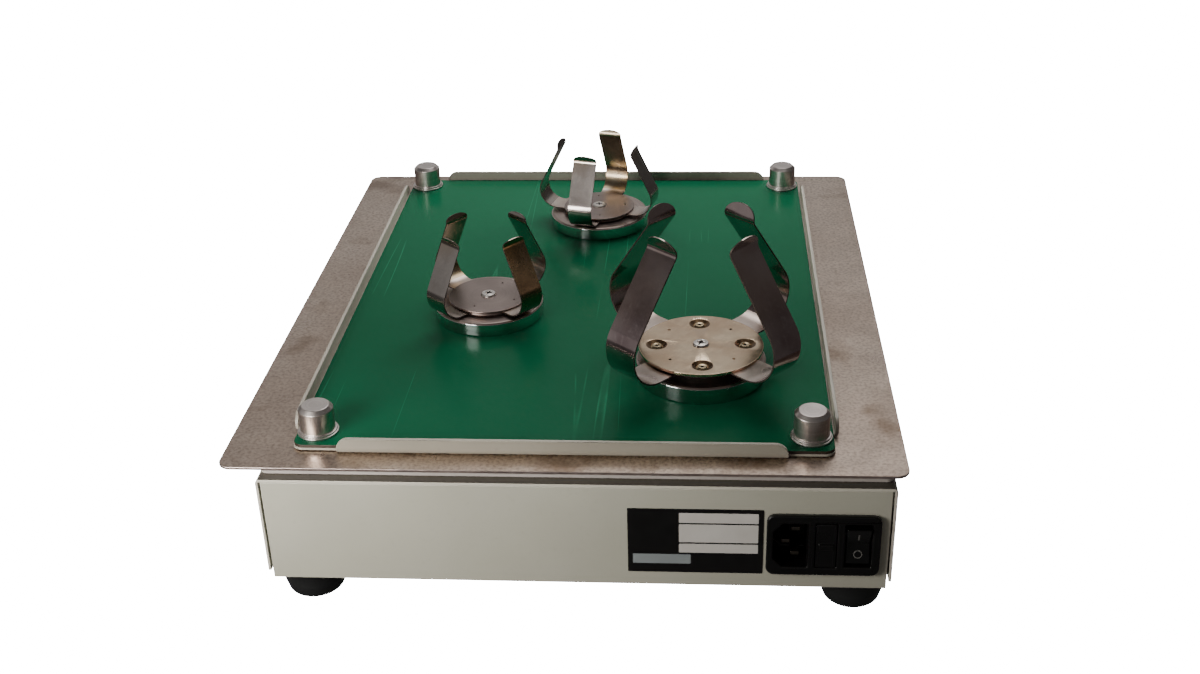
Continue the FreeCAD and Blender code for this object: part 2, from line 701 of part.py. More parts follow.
def round_corner(sk, side, half, top, radius, numbers):
    """Waste piece outside a quarter round at a strip end; side is -1 or 1."""
    first = sk.GeometryCount
    wide, high, r = numbers
    corners = [(half, "%s - %s" % (top, radius)), ("%s + 1" % half, "%s - %s" % (top, radius)),
               ("%s + 1" % half, "%s + 1" % top), ("%s - %s" % (half, radius), "%s + 1" % top),
               ("%s - %s" % (half, radius), top)]
    rough = [(wide, high - r), (wide + 1, high - r), (wide + 1, high + 1), (wide - r, high + 1), (wide - r, high)]
    spots = [FreeCAD.Vector(side * x, y, 0) for x, y in rough]
    for i in range(4):
        sk.addGeometry(Part.LineSegment(spots[i], spots[i + 1]), False)
    for i in range(3):
        sk.addConstraint(Sketcher.Constraint("Coincident", first + i, 2, first + i + 1, 1))
    for i in range(5):
        line, end = (first + i, 1) if i < 4 else (first + 3, 2)
        drive(sk, "DistanceX", (-1, 1, line, end), "%d * (%s)" % (side, corners[i][0]), spots[i].x)
        drive(sk, "DistanceY", (-1, 1, line, end), corners[i][1], spots[i].y)
    ring = Part.Circle(FreeCAD.Vector(side * (wide - r), high - r, 0), FreeCAD.Vector(0, 0, 1), r)
    span = (0, math.pi / 2) if side > 0 else (math.pi / 2, math.pi)
    arc = sk.addGeometry(Part.ArcOfCircle(ring, *span), False)
    ends = (1, 2) if side > 0 else (2, 1)
    sk.addConstraint(Sketcher.Constraint("Coincident", arc, ends[0], first, 1))
    sk.addConstraint(Sketcher.Constraint("Coincident", arc, ends[1], first + 3, 2))
    drive(sk, "Radius", (arc,), radius, r)


def strip(label, kind, level, where, turn):
    """Spring strip bent up at both ends, leaning in, with flared round tips."""
    body = new_body(label)
    words = ("span", "wide", "thk", "slant", "crease", "crease_z", "tip", "tip_z", "bend", "round")
    size = dict((word, DIMS[kind + "_" + word]) for word in words)
    ref = dict((word, "Dims.%s_%s" % (kind, word)) for word in words)
    low = "%g" % level
    up = "%g + %s" % (level, ref["thk"])
    lean = "(%s - %s) * %s / (%s - %s)" % (ref["span"], ref["crease"], ref["thk"], ref["crease_z"], low)
    foot = "%s - %s - %s" % (ref["span"], lean, ref["slant"])
    right = [(ref["span"], low), (ref["crease"], ref["crease_z"]), (ref["tip"], ref["tip_z"]),
             ("%s - %s" % (ref["tip"], ref["slant"]), ref["tip_z"]),
             ("%s - %s" % (ref["crease"], ref["slant"]), ref["crease_z"]), (foot, up)]
    left = [("-(%s)" % x, z) for x, z in reversed(right)]
    pad(body, poly(sketch(body, "XZ_Plane"), right + left), ref["wide"], mid=True)
    lean_mm = (size["span"] - size["crease"]) * size["thk"] / (size["crease_z"] - level)
    foot_in = size["span"] - lean_mm - size["slant"]
    top = level + size["thk"]
    dress(body, "Fillet", "%s + %s" % (ref["bend"], ref["thk"]),
          lambda e: along(e, "y") and abs(e.BoundBox.ZMax - level) < 1e-3)
    dress(body, "Fillet", ref["bend"], lambda e: along(e, "y") and abs(e.BoundBox.ZMax - top) < 1e-3
          and abs(abs(e.BoundBox.Center.x) - foot_in) < 1e-3)
    dress(body, "Fillet", "4 * " + ref["thk"], lambda e: along(e, "y")
          and abs(e.BoundBox.ZMax - size["crease_z"]) < 1e-3)
    ends = sketch(body, "YZ_Plane")
    for side in (-1, 1):
        round_corner(ends, side, ref["wide"] + " / 2", ref["tip_z"], ref["round"],
                     (size["wide"] / 2, size["tip_z"], size["round"]))
    pocket(body, ends)
    hole = circle(sketch(body, lift="%s + 0.1" % up), "0", "0", "2.5")
    pocket(body, hole, "2 * " + ref["thk"])
    place(body, x=where[0], y=where[1], z=Z_MAT, turn=turn)
    return body


def on_circle(radius, start):
    """Four spots a quarter turn apart; start is in degrees."""
    turns = ["%d" % (start + 90 * i) for i in range(4)]
    return [("%s * cos(%s)" % (radius, turn), "%s * sin(%s)" % (radius, turn)) for turn in turns]


def magnet(label, size, spot):
    """Round magnet cup with a lower, narrower face plate."""
    cup_r, cup_h, boss_r, boss_h = [size[word] for word in ("cup_r", "cup_h", "boss_r", "boss_h")]
    cup = turned(label, [("0", "0"), (cup_r + " - 0.8", "0"), (cup_r, "0.8"), (cup_r, cup_h + " - 0.8"),
                         (cup_r + " - 0.8", cup_h), (boss_r, cup_h), (boss_r + " - 0.6", boss_h), ("0", boss_h)])
    pocket(cup, circle(sketch(cup, lift=boss_h), "0", "0", "2.5"), "4.5")
    place(cup, z=Z_MAT, **spot)


def disc_and_screw(prefix, arms, level, spot):
    thk = DIMS[arms + "_disc_thk"]
    disc = new_body(prefix + "_disc")
    pad(disc, circle(sketch(disc), "0", "0", "Dims.%s_disc_r" % arms), "Dims.%s_disc_thk" % arms)
    dress(disc, "Chamfer", "0.3", at_height(thk))
    pocket(disc, circle(sketch(disc), "0", "0", "2.5"))
    place(disc, z="%s + %s" % (Z_MAT, level), **spot)

    screw = discs(prefix + "_screw", [("0", "0")], [("-4", "%g" % (4 + thk), "2.5"), ("%g" % thk, "1.2", "4.2")])
    dress(screw, "Fillet", "0.8", at_height(thk + 1.2))
    cross = poly(sketch(screw, lift="%g" % (thk + 1.2)),
                 [("-2.2", "-0.5"), ("-0.5", "-0.5"), ("-0.5", "-2.2"), ("0.5", "-2.2"), ("0.5", "-0.5"),
                  ("2.2", "-0.5"), ("2.2", "0.5"), ("0.5", "0.5"), ("0.5", "2.2"), ("-0.5", "2.2"),
                  ("-0.5", "0.5"), ("-2.2", "0.5")])
    pocket(screw, cross, "1.4")
    place(screw, z="%s + %s" % (Z_MAT, level), **spot)
    return disc


def rivets(disc, level, spot):
    """Hollow rivets sunk in the large disc, and four small marks between them."""
    marks = sketch(disc)
    for x, y in on_circle(D.rivet_at, 90):
        circle(marks, x, y, "0.8")
    pocket(disc, marks)
    holes = sketch(disc)
    for x, y in on_circle(D.rivet_at, 45):
        circle(holes, x, y, D.rivet_r)
    pocket(disc, holes)
    thk = DIMS["big_disc_thk"]
    round_edge = 2 * math.pi * DIMS["rivet_r"]
    dress(disc, "Chamfer", "1.3", lambda e: at_height(thk)(e) and abs(e.Length - round_edge) < 0.01)

    body = discs("clamp_large_rivets", on_circle(D.rivet_at, 45), [("0", "1.1", D.rivet_r)])
    sink = sketch(body, lift="1.1")
    for x, y in on_circle(D.rivet_at, 45):
        circle(sink, x, y, "1.5")
    pocket(body, sink, "0.9")
    place(body, z="%s + %s" % (Z_MAT, level), **spot)


def clamp(prefix, arms, x, y, turn):
    spot = dict(x=x, y=y, turn=turn)
    words = ("cup_r", "cup_h", "boss_r", "boss_h")
    magnet(prefix + "_magnet", dict((word, "Dims.%s_%s" % (arms, word)) for word in words), spot)
    seat = DIMS[arms + "_boss_h"]
    thk = DIMS[arms + "_thk"]
    strip(prefix + "_strip_lower", arms, seat, (x, y), turn)
    strip(prefix + "_strip_upper", arms, seat + thk, (x, y), "%s + 90" % turn)
    level = "(Dims.%s_boss_h + 2 * Dims.%s_thk)" % (arms, arms)
    disc = disc_and_screw(prefix, arms, level, spot)
    if arms == "big":
        rivets(disc, level, spot)


def clamps():
    clamp("clamp_large", "big", D.big_x, D.big_y, D.big_turn)
    clamp("clamp_small_a", "small", D.small_a_x, D.small_a_y, D.small_a_turn)
    clamp("clamp_small_b", "small", D.small_b_x, D.small_b_y, D.small_b_turn)


# ---------------------------------------------------------------- build and write

base_plate()
panels()
top_cover()
cover_deck()
feet()
cover_screws()
inlet_module()
rocker_and_drawer()
rating_label()
overlay_and_display()
hand_controls()
housings()
cranks()
motor()
belt()
platform_frame()
pan_and_mat()
posts()
clamps()
doc.recompute()

for item in doc.Objects:
    bad = [word for word in item.State if word in ("Invalid", "Error")]
    if bad:
        raise RuntimeError("%s: %s" % (item.Name, bad))

os.makedirs("parts", exist_ok=True)
for item in PARTS:
    if item.Shape.isNull() or not item.Shape.isValid() or not item.Shape.Solids:
        raise RuntimeError("bad shape: " + item.Label)
    item.Shape.exportStep("parts/%s.step" % item.Label)
    box = item.Shape.BoundBox
    size = (item.Label, len(item.Shape.Solids), box.XMin, box.XMax, box.YMin, box.YMax, box.ZMin, box.ZMax)
    print("%-24s %2d  x %8.2f %8.2f  y %8.2f %8.2f  z %7.2f %7.2f" % size)
print(len(PARTS), "parts")
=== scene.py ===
"""Looks of an orbital platform shaker with magnetic spring clamps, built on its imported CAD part.

Metres, in the part's own frame: +Z up, +Y the mains inlet side, -Y the control side.
Outlines are written in millimetres and scaled by MM.
"""
import json
import math

import bmesh
import bpy
from mathutils import Matrix, Vector


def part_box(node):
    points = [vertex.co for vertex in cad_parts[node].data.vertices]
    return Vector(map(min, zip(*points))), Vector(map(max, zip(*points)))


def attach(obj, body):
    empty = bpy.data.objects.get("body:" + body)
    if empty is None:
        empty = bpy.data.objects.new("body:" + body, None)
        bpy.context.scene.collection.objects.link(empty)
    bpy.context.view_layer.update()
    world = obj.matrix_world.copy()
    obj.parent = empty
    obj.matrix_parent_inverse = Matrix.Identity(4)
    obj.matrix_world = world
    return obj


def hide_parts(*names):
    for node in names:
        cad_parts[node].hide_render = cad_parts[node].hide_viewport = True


MM = 0.001
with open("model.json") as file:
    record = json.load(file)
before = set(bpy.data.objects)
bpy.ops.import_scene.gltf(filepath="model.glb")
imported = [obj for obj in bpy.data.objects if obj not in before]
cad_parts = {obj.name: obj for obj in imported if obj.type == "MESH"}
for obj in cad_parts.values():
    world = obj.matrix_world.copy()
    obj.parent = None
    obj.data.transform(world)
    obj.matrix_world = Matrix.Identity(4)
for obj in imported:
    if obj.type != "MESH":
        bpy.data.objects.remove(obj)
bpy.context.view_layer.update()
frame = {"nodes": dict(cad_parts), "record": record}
NODES = frame["nodes"]
RECORD = frame["record"]
BODY_OF = {n: body for body, members in RECORD["behaviour"]["bodies"].items() for n in members}
SLOT_OF = {part["node"]: part["material_slot"] for part in RECORD["subparts"]}


# ---------------------------------------------------------------- materials

def rgb(r, g, b):
    """Linear colour of an sRGB one given from 0 to 255."""
    parts = []
    for level in (r, g, b):
        level /= 255.0
        parts.append(level / 12.92 if level <= 0.04045 else ((level + 0.055) / 1.055) ** 2.4)
    return (*parts, 1.0)


class Finish:
    """A node material whose colour, roughness and relief come from noise in the piece's own space."""

    def __init__(self, name, **fixed):
        self.material = bpy.data.materials.new(name)
        self.material.use_nodes = True
        tree = self.material.node_tree
        self.nodes = tree.nodes
        self.links = tree.links
        self.shader = self.nodes["Principled BSDF"]
        for word, value in fixed.items():
            self.shader.inputs[word.replace("_", " ")].default_value = value
        self.here = self.nodes.new("ShaderNodeTexCoord").outputs["Object"]
        self.relief = None

    def link(self, output, node, socket):
        self.links.new(output, node.inputs[socket])

    def about_axis(self):
        """Coordinates that change only with height and distance from the piece's Z axis."""
        apart = self.nodes.new("ShaderNodeSeparateXYZ")
        self.link(self.here, apart, "Vector")
        flat = self.nodes.new("ShaderNodeCombineXYZ")
        self.link(apart.outputs["X"], flat, "X")
        self.link(apart.outputs["Y"], flat, "Y")
        length = self.nodes.new("ShaderNodeVectorMath")
        length.operation = "LENGTH"
        self.link(flat.outputs["Vector"], length, 0)
        joined = self.nodes.new("ShaderNodeCombineXYZ")
        self.link(length.outputs["Value"], joined, "X")
        self.link(apart.outputs["Z"], joined, "Z")
        return joined.outputs["Vector"]

    def noise(self, scale, stretch=(1, 1, 1), detail=3.0, source=None, turn=0.0, shift=0.0):
        place = self.nodes.new("ShaderNodeMapping")
        place.inputs["Scale"].default_value = [scale * part for part in stretch]
        place.inputs["Rotation"].default_value = (0, 0, math.radians(turn))
        place.inputs["Location"].default_value = (shift, shift * 0.7, shift * 0.3)
        self.link(source or self.here, place, "Vector")
        made = self.nodes.new("ShaderNodeTexNoise")
        made.inputs["Scale"].default_value = 1.0
        made.inputs["Detail"].default_value = detail
        self.link(place.outputs["Vector"], made, "Vector")
        return made.outputs["Fac"]

    def spread(self, value, low, high, start=0.3, stop=0.7):
        """A noise value stretched over a range."""
        made = self.nodes.new("ShaderNodeMapRange")
        for socket, number in (("From Min", start), ("From Max", stop), ("To Min", low), ("To Max", high)):
            made.inputs[socket].default_value = number
        self.link(value, made, "Value")
        return made.outputs["Result"]

    def ramp(self, value, *stops):
        made = self.nodes.new("ShaderNodeValToRGB")
        points = made.color_ramp.elements
        while len(points) < len(stops):
            points.new(0.5)
        for point, (at, colour) in zip(points, stops):
            point.position = at
            point.color = colour
        self.link(value, made, "Fac")
        return made.outputs["Color"]

    def mix(self, value, under, over):
        made = self.nodes.new("ShaderNodeMix")
        made.data_type = "RGBA"
        if isinstance(value, float):
            made.inputs[0].default_value = value
        else:
            self.links.new(value, made.inputs[0])
        for index, colour in ((6, under), (7, over)):
            if isinstance(colour, tuple):
                made.inputs[index].default_value = colour
            else:
                self.links.new(colour, made.inputs[index])
        return made.outputs[2]

    def times(self, first, second):
        made = self.nodes.new("ShaderNodeMath")
        made.operation = "MULTIPLY"
        self.link(first, made, 0)
        self.link(second, made, 1)
        return made.outputs[0]

    def edge_mask(self, reach):
        """Bright where the surface turns within reach: paler edges, partly wear and partly a painted highlight."""
        soft = self.nodes.new("ShaderNodeBevel")
        soft.samples = 4
        soft.inputs["Radius"].default_value = reach
        sharp = self.nodes.new("ShaderNodeNewGeometry")
        made = self.nodes.new("ShaderNodeVectorMath")
        made.operation = "DOT_PRODUCT"
        self.link(soft.outputs["Normal"], made, 0)
        self.link(sharp.outputs["Normal"], made, 1)
        return self.spread(made.outputs["Value"], 1.0, 0.0, 0.75, 0.995)

    def colour(self, output):
        self.link(output, self.shader, "Base Color")

    def rough(self, output):
        self.link(output, self.shader, "Roughness")

    def bump(self, value, depth, strength=1.0):
        """Relief of a depth in metres; several calls add up."""
        made = self.nodes.new("ShaderNodeBump")
        made.inputs["Strength"].default_value = strength
        made.inputs["Distance"].default_value = depth
        self.link(value, made, "Height")
        if self.relief is not None:
            self.link(self.relief, made, "Normal")
        self.relief = made.outputs["Normal"]
        self.link(self.relief, self.shader, "Normal")


def painted(name, dark, light, shine=(0.34, 0.5), wear_and_highlight=None):
    """Sprayed coat: soft tone changes, orange peel, specks of dust, and paler edges that are partly wear and partly a
    painted highlight.
    """
    coat = Finish(name)
    tone = coat.ramp(coat.noise(9.0, detail=4.0), (0.3, dark), (0.7, light))
    dust = coat.spread(coat.noise(340.0, detail=2.0, shift=4.0), 0.0, 0.35, 0.6, 0.8)
    tone = coat.mix(dust, tone, dark)
    if wear_and_highlight is not None:
        # edges turn toward the pale colour: partly wear, partly a painted highlight along rounded edges
        tone = coat.mix(coat.edge_mask(0.0006), tone, wear_and_highlight)
    coat.colour(tone)
    coat.rough(coat.spread(coat.noise(30.0, detail=3.0, shift=7.0), *shine))
    coat.bump(coat.noise(1100.0, detail=2.0), 0.00004, 0.5)
    coat.bump(coat.noise(25.0, detail=1.0), 0.0006, 0.12)
    return coat


def brushed(name, dark, light, across=(6, 700, 700), shine=(0.25, 0.42), stain=14.0, depth=0.00003,
            lined=0.45):
    """Sheet metal with fine parallel lines, cloudy stains and dull marks."""
    metal = Finish(name, Metallic=1.0)
    lines = metal.noise(1.0, across, 4.0)
    clouds = metal.noise(stain, detail=5.0, shift=3.0)
    tone = metal.ramp(clouds, (0.32, dark), (0.68, light))
    streaks = metal.ramp(lines, (0.3, dark), (0.7, light))
    metal.colour(metal.mix(lined, tone, streaks))
    marks = metal.noise(stain * 5, detail=4.0, shift=9.0)
    metal.rough(metal.spread(marks, *shine))
    metal.bump(lines, depth, 0.5)
    return metal


def turned_metal(name, dark, light, pitch=2600.0, shine=(0.2, 0.34)):
    """Metal with tool rings round the piece's own axis."""
    metal = Finish(name, Metallic=1.0)
    rings = metal.noise(pitch, detail=2.0, source=metal.about_axis())
    clouds = metal.noise(70.0, detail=4.0, shift=2.0)
    lined = metal.ramp(rings, (0.3, dark), (0.7, light))
    clouded = metal.ramp(clouds, (0.3, dark), (0.7, light))
    metal.colour(metal.mix(0.4, lined, clouded))
    metal.rough(metal.spread(clouds, *shine))
    metal.bump(rings, 0.00002, 0.6)
    return metal


def moulded(name, dark, light, shine, grain=1400.0, depth=0.00003):
    """Plastic or rubber with a fine moulded grain."""
    plastic = Finish(name)
    tone = plastic.ramp(plastic.noise(45.0, detail=4.0), (0.3, dark), (0.75, light))
    plastic.colour(tone)
    plastic.rough(plastic.spread(plastic.noise(120.0, detail=3.0, shift=5.0), *shine))
    plastic.bump(plastic.noise(grain, detail=2.0), depth, 0.5)
    return plastic


def scratches(surface, scale, turn, width):
    """Mask of a few long thin lines, kept only in some patches of the surface."""
    broad = surface.noise(scale, (1, 0.02, 1), 1.0, turn=turn, shift=11.0)
    low = surface.spread(broad, 0.0, 1.0, 0.5 - width, 0.5)
    high = surface.spread(broad, 1.0, 0.0, 0.5, 0.5 + width)
    patches = surface.spread(surface.noise(12.0, detail=2.0, shift=21.0), 0.0, 1.0, 0.5, 0.62)
    return surface.times(surface.times(low, high), patches)


def green_sheet():
    """Smooth sheet with faint long scratches and slow tone changes."""
    sheet = Finish("green_sheet", Specular_IOR_Level=0.06, Specular_Tint=(0.3, 1.0, 0.7, 1.0))
    tone = sheet.ramp(sheet.noise(5.0, detail=3.0), (0.3, rgb(5, 71, 45)), (0.7, rgb(10, 81, 53)))
    lines = scratches(sheet, 60.0, 4.0, 0.006)
    sheet.colour(sheet.mix(lines, tone, rgb(24, 104, 72)))
    sheet.rough(sheet.spread(sheet.noise(60.0, detail=4.0, shift=6.0), 0.18, 0.24))
    sheet.bump(sheet.noise(9.0, detail=1.0), 0.0006, 0.05)
    sheet.bump(sheet.noise(1500.0, detail=2.0), 0.000004, 0.2)
    return sheet


def spring_metal(name, dark, light, warm, warm_share, shine):
    """Tempered strip: lines along its length, cloudy oxide in a warmer tone."""
    metal = Finish(name, Metallic=1.0)
    lines = metal.noise(1.0, (30, 1500, 30), 3.0)
    clouds = metal.noise(45.0, detail=5.0, shift=2.0)
    specks = metal.noise(420.0, detail=3.0, shift=5.0)
    tone = metal.ramp(clouds, (0.3, dark), (0.7, light))
    tone = metal.mix(metal.spread(specks, 0.0, 0.35, 0.55, 0.7), tone, light)
    patches = metal.noise(26.0, detail=4.0, shift=13.0)
    metal.colour(metal.mix(metal.spread(patches, 0.0, warm_share, 0.42, 0.6), tone, warm))
    metal.rough(metal.spread(clouds, *shine))
    metal.bump(lines, 0.00002, 0.4)
    metal.bump(specks, 0.00002, 0.25)
    return metal


def tray_metal():
    """Rolled steel with a fine grain, soft mottling and brown stains."""
    metal = Finish("tray_steel", Metallic=1.0)
    tone = metal.ramp(metal.noise(11.0, detail=5.0), (0.3, rgb(180, 161, 147)), (0.7, rgb(210, 194, 180)))
    grain = metal.noise(620.0, detail=4.0, shift=5.0)
    tone = metal.mix(metal.spread(grain, 0.0, 0.6, 0.4, 0.7), tone, rgb(134, 114, 100))
    stain = metal.noise(38.0, detail=6.0, shift=17.0)
    tone = metal.mix(metal.spread(stain, 0.0, 0.6, 0.58, 0.72), tone, rgb(122, 98, 78))
    metal.colour(tone)
    metal.rough(metal.spread(metal.noise(60.0, detail=4.0, shift=9.0), 0.27, 0.39))
    metal.bump(grain, 0.00003, 0.45)
    metal.bump(metal.noise(9.0, detail=1.0, shift=2.0), 0.0008, 0.12)
    return metal


def materials():
    """Every finish by name: its maker, its dark and light sRGB tones, and what else differs from the maker's own."""
    table = {
        "case_paint": (painted, (180, 177, 160), (195, 192, 176), {"wear_and_highlight": rgb(228, 222, 210)}),
        # the deck's cream paint made paler than the case paint: painted light for its rear face in the tray's shade
        "deck_paint": (painted, (200, 190, 182), (214, 205, 198), {"wear_and_highlight": rgb(226, 220, 214)}),
        # paler copy of the case paint: a painted highlight on the cover's rear edge
        "edge_light": (painted, (208, 202, 186), (222, 216, 200), {}),
        # darker copy of the case paint: painted shade on the cover's top under the tray
        "ledge_dark": (painted, (82, 77, 69), (90, 85, 76), {"shine": (0.42, 0.52)}),
        "pan_paint": (painted, (145, 139, 126), (162, 156, 142),
                      {"shine": (0.28, 0.4), "wear_and_highlight": rgb(198, 191, 178)}),
        "cast_aluminium": (painted, (140, 140, 140), (168, 168, 168), {}),
        "black_steel": (painted, (32, 32, 33), (46, 46, 47), {}),

        "tray_edge": (brushed, (176, 156, 148), (204, 188, 180),
                      {"across": (300, 300, 300), "shine": (0.34, 0.5), "stain": 30.0}),
        "zinc_steel": (brushed, (168, 166, 162), (204, 202, 198), {"stain": 60.0}),
        "disc_gold": (brushed, (206, 178, 148), (234, 212, 184),
                      {"across": (20, 500, 500), "shine": (0.16, 0.26), "stain": 60.0, "depth": 0.00001,
                       "lined": 0.15}),
        # darkened metal for the pins: painted shade of the deep inlet cavity they sit in
        "pin_metal": (brushed, (84, 80, 72), (112, 106, 96),
                      {"across": (200, 200, 20), "shine": (0.3, 0.42), "stain": 120.0}),

        "turned_aluminium": (turned_metal, (198, 188, 182), (228, 220, 214), {"shine": (0.28, 0.4)}),
        "magnet_chrome": (turned_metal, (186, 190, 190), (214, 216, 214), {"pitch": 1800.0, "shine": (0.06, 0.14)}),
        "magnet_face": (turned_metal, (162, 144, 136), (190, 174, 166), {"pitch": 1200.0, "shine": (0.26, 0.36)}),
        "contact_plate": (turned_metal, (206, 200, 184), (228, 224, 214), {"pitch": 900.0}),
        "dimple_brown": (turned_metal, (98, 76, 54), (132, 108, 82), {"pitch": 900.0, "shine": (0.24, 0.36)}),
        "disc_grey": (turned_metal, (138, 123, 117), (162, 148, 142), {"pitch": 900.0, "shine": (0.3, 0.42)}),
        "screw_steel": (turned_metal, (206, 198, 190), (232, 226, 220), {"pitch": 900.0, "shine": (0.26, 0.36)}),
        "rivet_brass": (turned_metal, (178, 156, 122), (214, 196, 164), {"pitch": 1500.0, "shine": (0.18, 0.3)}),

        "spring_steel": (spring_metal, (150, 140, 134), (188, 180, 174),
                         {"warm": rgb(176, 150, 122), "warm_share": 0.35, "shine": (0.14, 0.26)}),
        "spring_dark": (spring_metal, (150, 130, 130), (194, 177, 175),
                        {"warm": rgb(180, 154, 138), "warm_share": 0.35, "shine": (0.11, 0.19)}),
        "spring_inner": (spring_metal, (142, 126, 108), (184, 170, 150),
                         {"warm": rgb(182, 154, 108), "warm_share": 0.7, "shine": (0.2, 0.32)}),
        "spring_brown": (spring_metal, (84, 73, 56), (150, 134, 104),
                         {"warm": rgb(150, 124, 84), "warm_share": 0.7, "shine": (0.2, 0.32)}),
        # paler copy of the spring steel: painted light on the strips' upward flats
        "strip_flat": (spring_metal, (184, 168, 158), (216, 202, 192),
                       {"warm": rgb(190, 166, 146), "warm_share": 0.4, "shine": (0.24, 0.34)}),
        "strip_edge": (spring_metal, (66, 60, 56), (92, 84, 78),
                       {"warm": rgb(84, 72, 60), "warm_share": 0.4, "shine": (0.45, 0.6)}),

        # dark brown for the mat's sides: painted shade of the line under the mat's edge
        "mat_edge": (moulded, (44, 34, 26), (60, 48, 36), {"shine": (0.4, 0.55)}),
        "black_plastic": (moulded, (7, 6, 6), (12, 11, 11), {"shine": (0.26, 0.36)}),
        "switch_plastic": (moulded, (6, 6, 6), (11, 11, 11), {"shine": (0.2, 0.3)}),
        "label_film": (moulded, (8, 7, 7), (14, 12, 12), {"shine": (0.34, 0.46)}),
        "label_light": (moulded, (206, 200, 192), (222, 217, 210), {"shine": (0.4, 0.5)}),
        "label_tint": (moulded, (132, 138, 140), (150, 156, 156), {"shine": (0.4, 0.5)}),
        "overlay_film": (moulded, (52, 58, 66), (62, 68, 78), {"shine": (0.42, 0.55)}),
        "window_film": (moulded, (14, 22, 18), (22, 32, 27), {"shine": (0.1, 0.18)}),
        "start_green": (moulded, (32, 128, 66), (44, 148, 80), {"shine": (0.24, 0.34)}),
        "stop_red": (moulded, (164, 30, 26), (186, 44, 38), {"shine": (0.24, 0.34)}),
        "board_green": (moulded, (16, 84, 44), (26, 102, 56), {"shine": (0.28, 0.4)}),
        "foot_rubber": (moulded, (18, 18, 19), (30, 30, 30),
                        {"shine": (0.42, 0.6), "grain": 900.0, "depth": 0.00006}),
        "belt_rubber": (moulded, (24, 24, 24), (36, 36, 36), {"shine": (0.6, 0.75)}),
        "mark_white": (moulded, (196, 196, 192), (222, 222, 218), {"shine": (0.4, 0.5)}),
        "mark_grey": (moulded, (92, 90, 86), (112, 110, 106), {"shine": (0.4, 0.5)}),
        "shadow_black": (moulded, (10, 10, 10), (18, 18, 18), {"shine": (0.5, 0.7)}),
    }
    made = {"tray_steel": tray_metal().material, "green_sheet": green_sheet().material}
    for name, (maker, dark, light, options) in table.items():
        made[name] = maker(name, rgb(*dark), rgb(*light), **options).material
    return made


MATERIALS = materials()


# ---------------------------------------------------------------- making pieces

SMOOTH = 32.0  # degrees; edges that turn more stay sharp
CAP_STEPS = 12  # stations in a strip's rounded end
NEARBY = 0.05  # mm along a strip, to find which way it heads
TIP_HALF = 0.2  # mm, least half width of a strip's rounded end


def link_object(name, data):
    made = bpy.data.objects.new(name, data)
    bpy.context.scene.collection.objects.link(made)
    return made


def as_mesh(name, mesh):
    """Turns a bmesh into mesh data and frees it."""
    data = bpy.data.meshes.new(name)
    mesh.to_mesh(data)
    mesh.free()
    return data


def wall(mesh, low, high):
    """Four-cornered faces between two closed loops with as many points."""
    made = []
    for k in range(len(low)):
        following = (k + 1) % len(low)
        made.append(mesh.faces.new((low[k], low[following], high[following], high[k])))
    return made


def even_normals(made):
    made.modifiers.new("Even", "WEIGHTED_NORMAL").keep_sharp = True


def piece(name, mesh, node, material=None, smooth=SMOOTH):
    """A shown piece, from a bmesh, with a CAD node's finish unless another is given."""
    bmesh.ops.recalc_face_normals(mesh, faces=mesh.faces)
    data = as_mesh(name, mesh)
    made = link_object(name, data)
    data.materials.append(MATERIALS[material or SLOT_OF[node]])
    data.shade_smooth()
    data.set_sharp_from_angle(angle=math.radians(smooth))
    even_normals(made)
    made["node"] = node
    return made


def settle(made, replaced=True):
    """Ties a finished piece to its body, once it is in place."""
    node = made["node"]
    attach(made, BODY_OF[node])
    if replaced:
        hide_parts(node)


def refinish(made, material, chosen):
    """Gives another finish to the faces that are chosen."""
    made.data.materials.append(MATERIALS[material])
    for face in made.data.polygons:
        if chosen(face):
            face.material_index = len(made.data.materials) - 1


def facing(made, material, axis):
    """Gives another finish to the faces that look along an axis."""
    refinish(made, material, lambda face: face.normal.dot(Vector(axis)) > 0.9)


def on_sides(made, material):
    """Gives another finish to a plate's upright faces."""
    refinish(made, material, lambda face: abs(face.normal.z) < 0.5)


def soften(made, width, segments=2, angle=40.0):
    """Rounds the piece's hard edges, before its normals are evened."""
    bevel = made.modifiers.new("Edge", "BEVEL")
    bevel.width = width
    bevel.segments = segments
    bevel.limit_method = "ANGLE"
    bevel.angle_limit = math.radians(angle)
    bevel.use_clamp_overlap = False
    made.modifiers.move(len(made.modifiers) - 1, 0)
    return made


def rounded(corners, steps=6):
    """Outline through (a, b, radius) corners, each but the first and last turned into an arc of its radius."""
    out = []
    last = len(corners) - 1
    for i, (a, b, radius) in enumerate(corners):
        here = Vector((a, b))
        if radius <= 0 or i in (0, last):
            out.append(here)
            continue
        back = Vector(corners[i - 1][:2]) - here
        ahead = Vector(corners[i + 1][:2]) - here
        half = back.angle(ahead) / 2
        reach = min(radius / math.tan(half), back.length * 0.499, ahead.length * 0.499)
        middle = here + (back.normalized() + ahead.normalized()).normalized() * reach / math.cos(half)
        start = here + back.normalized() * reach - middle
        stop = here + ahead.normalized() * reach - middle
        sweep = start.angle(stop)
        for k in range(steps + 1):
            t = k / steps
            along = start * math.sin((1 - t) * sweep) + stop * math.sin(t * sweep)
            out.append(middle + along / math.sin(sweep))
    return out


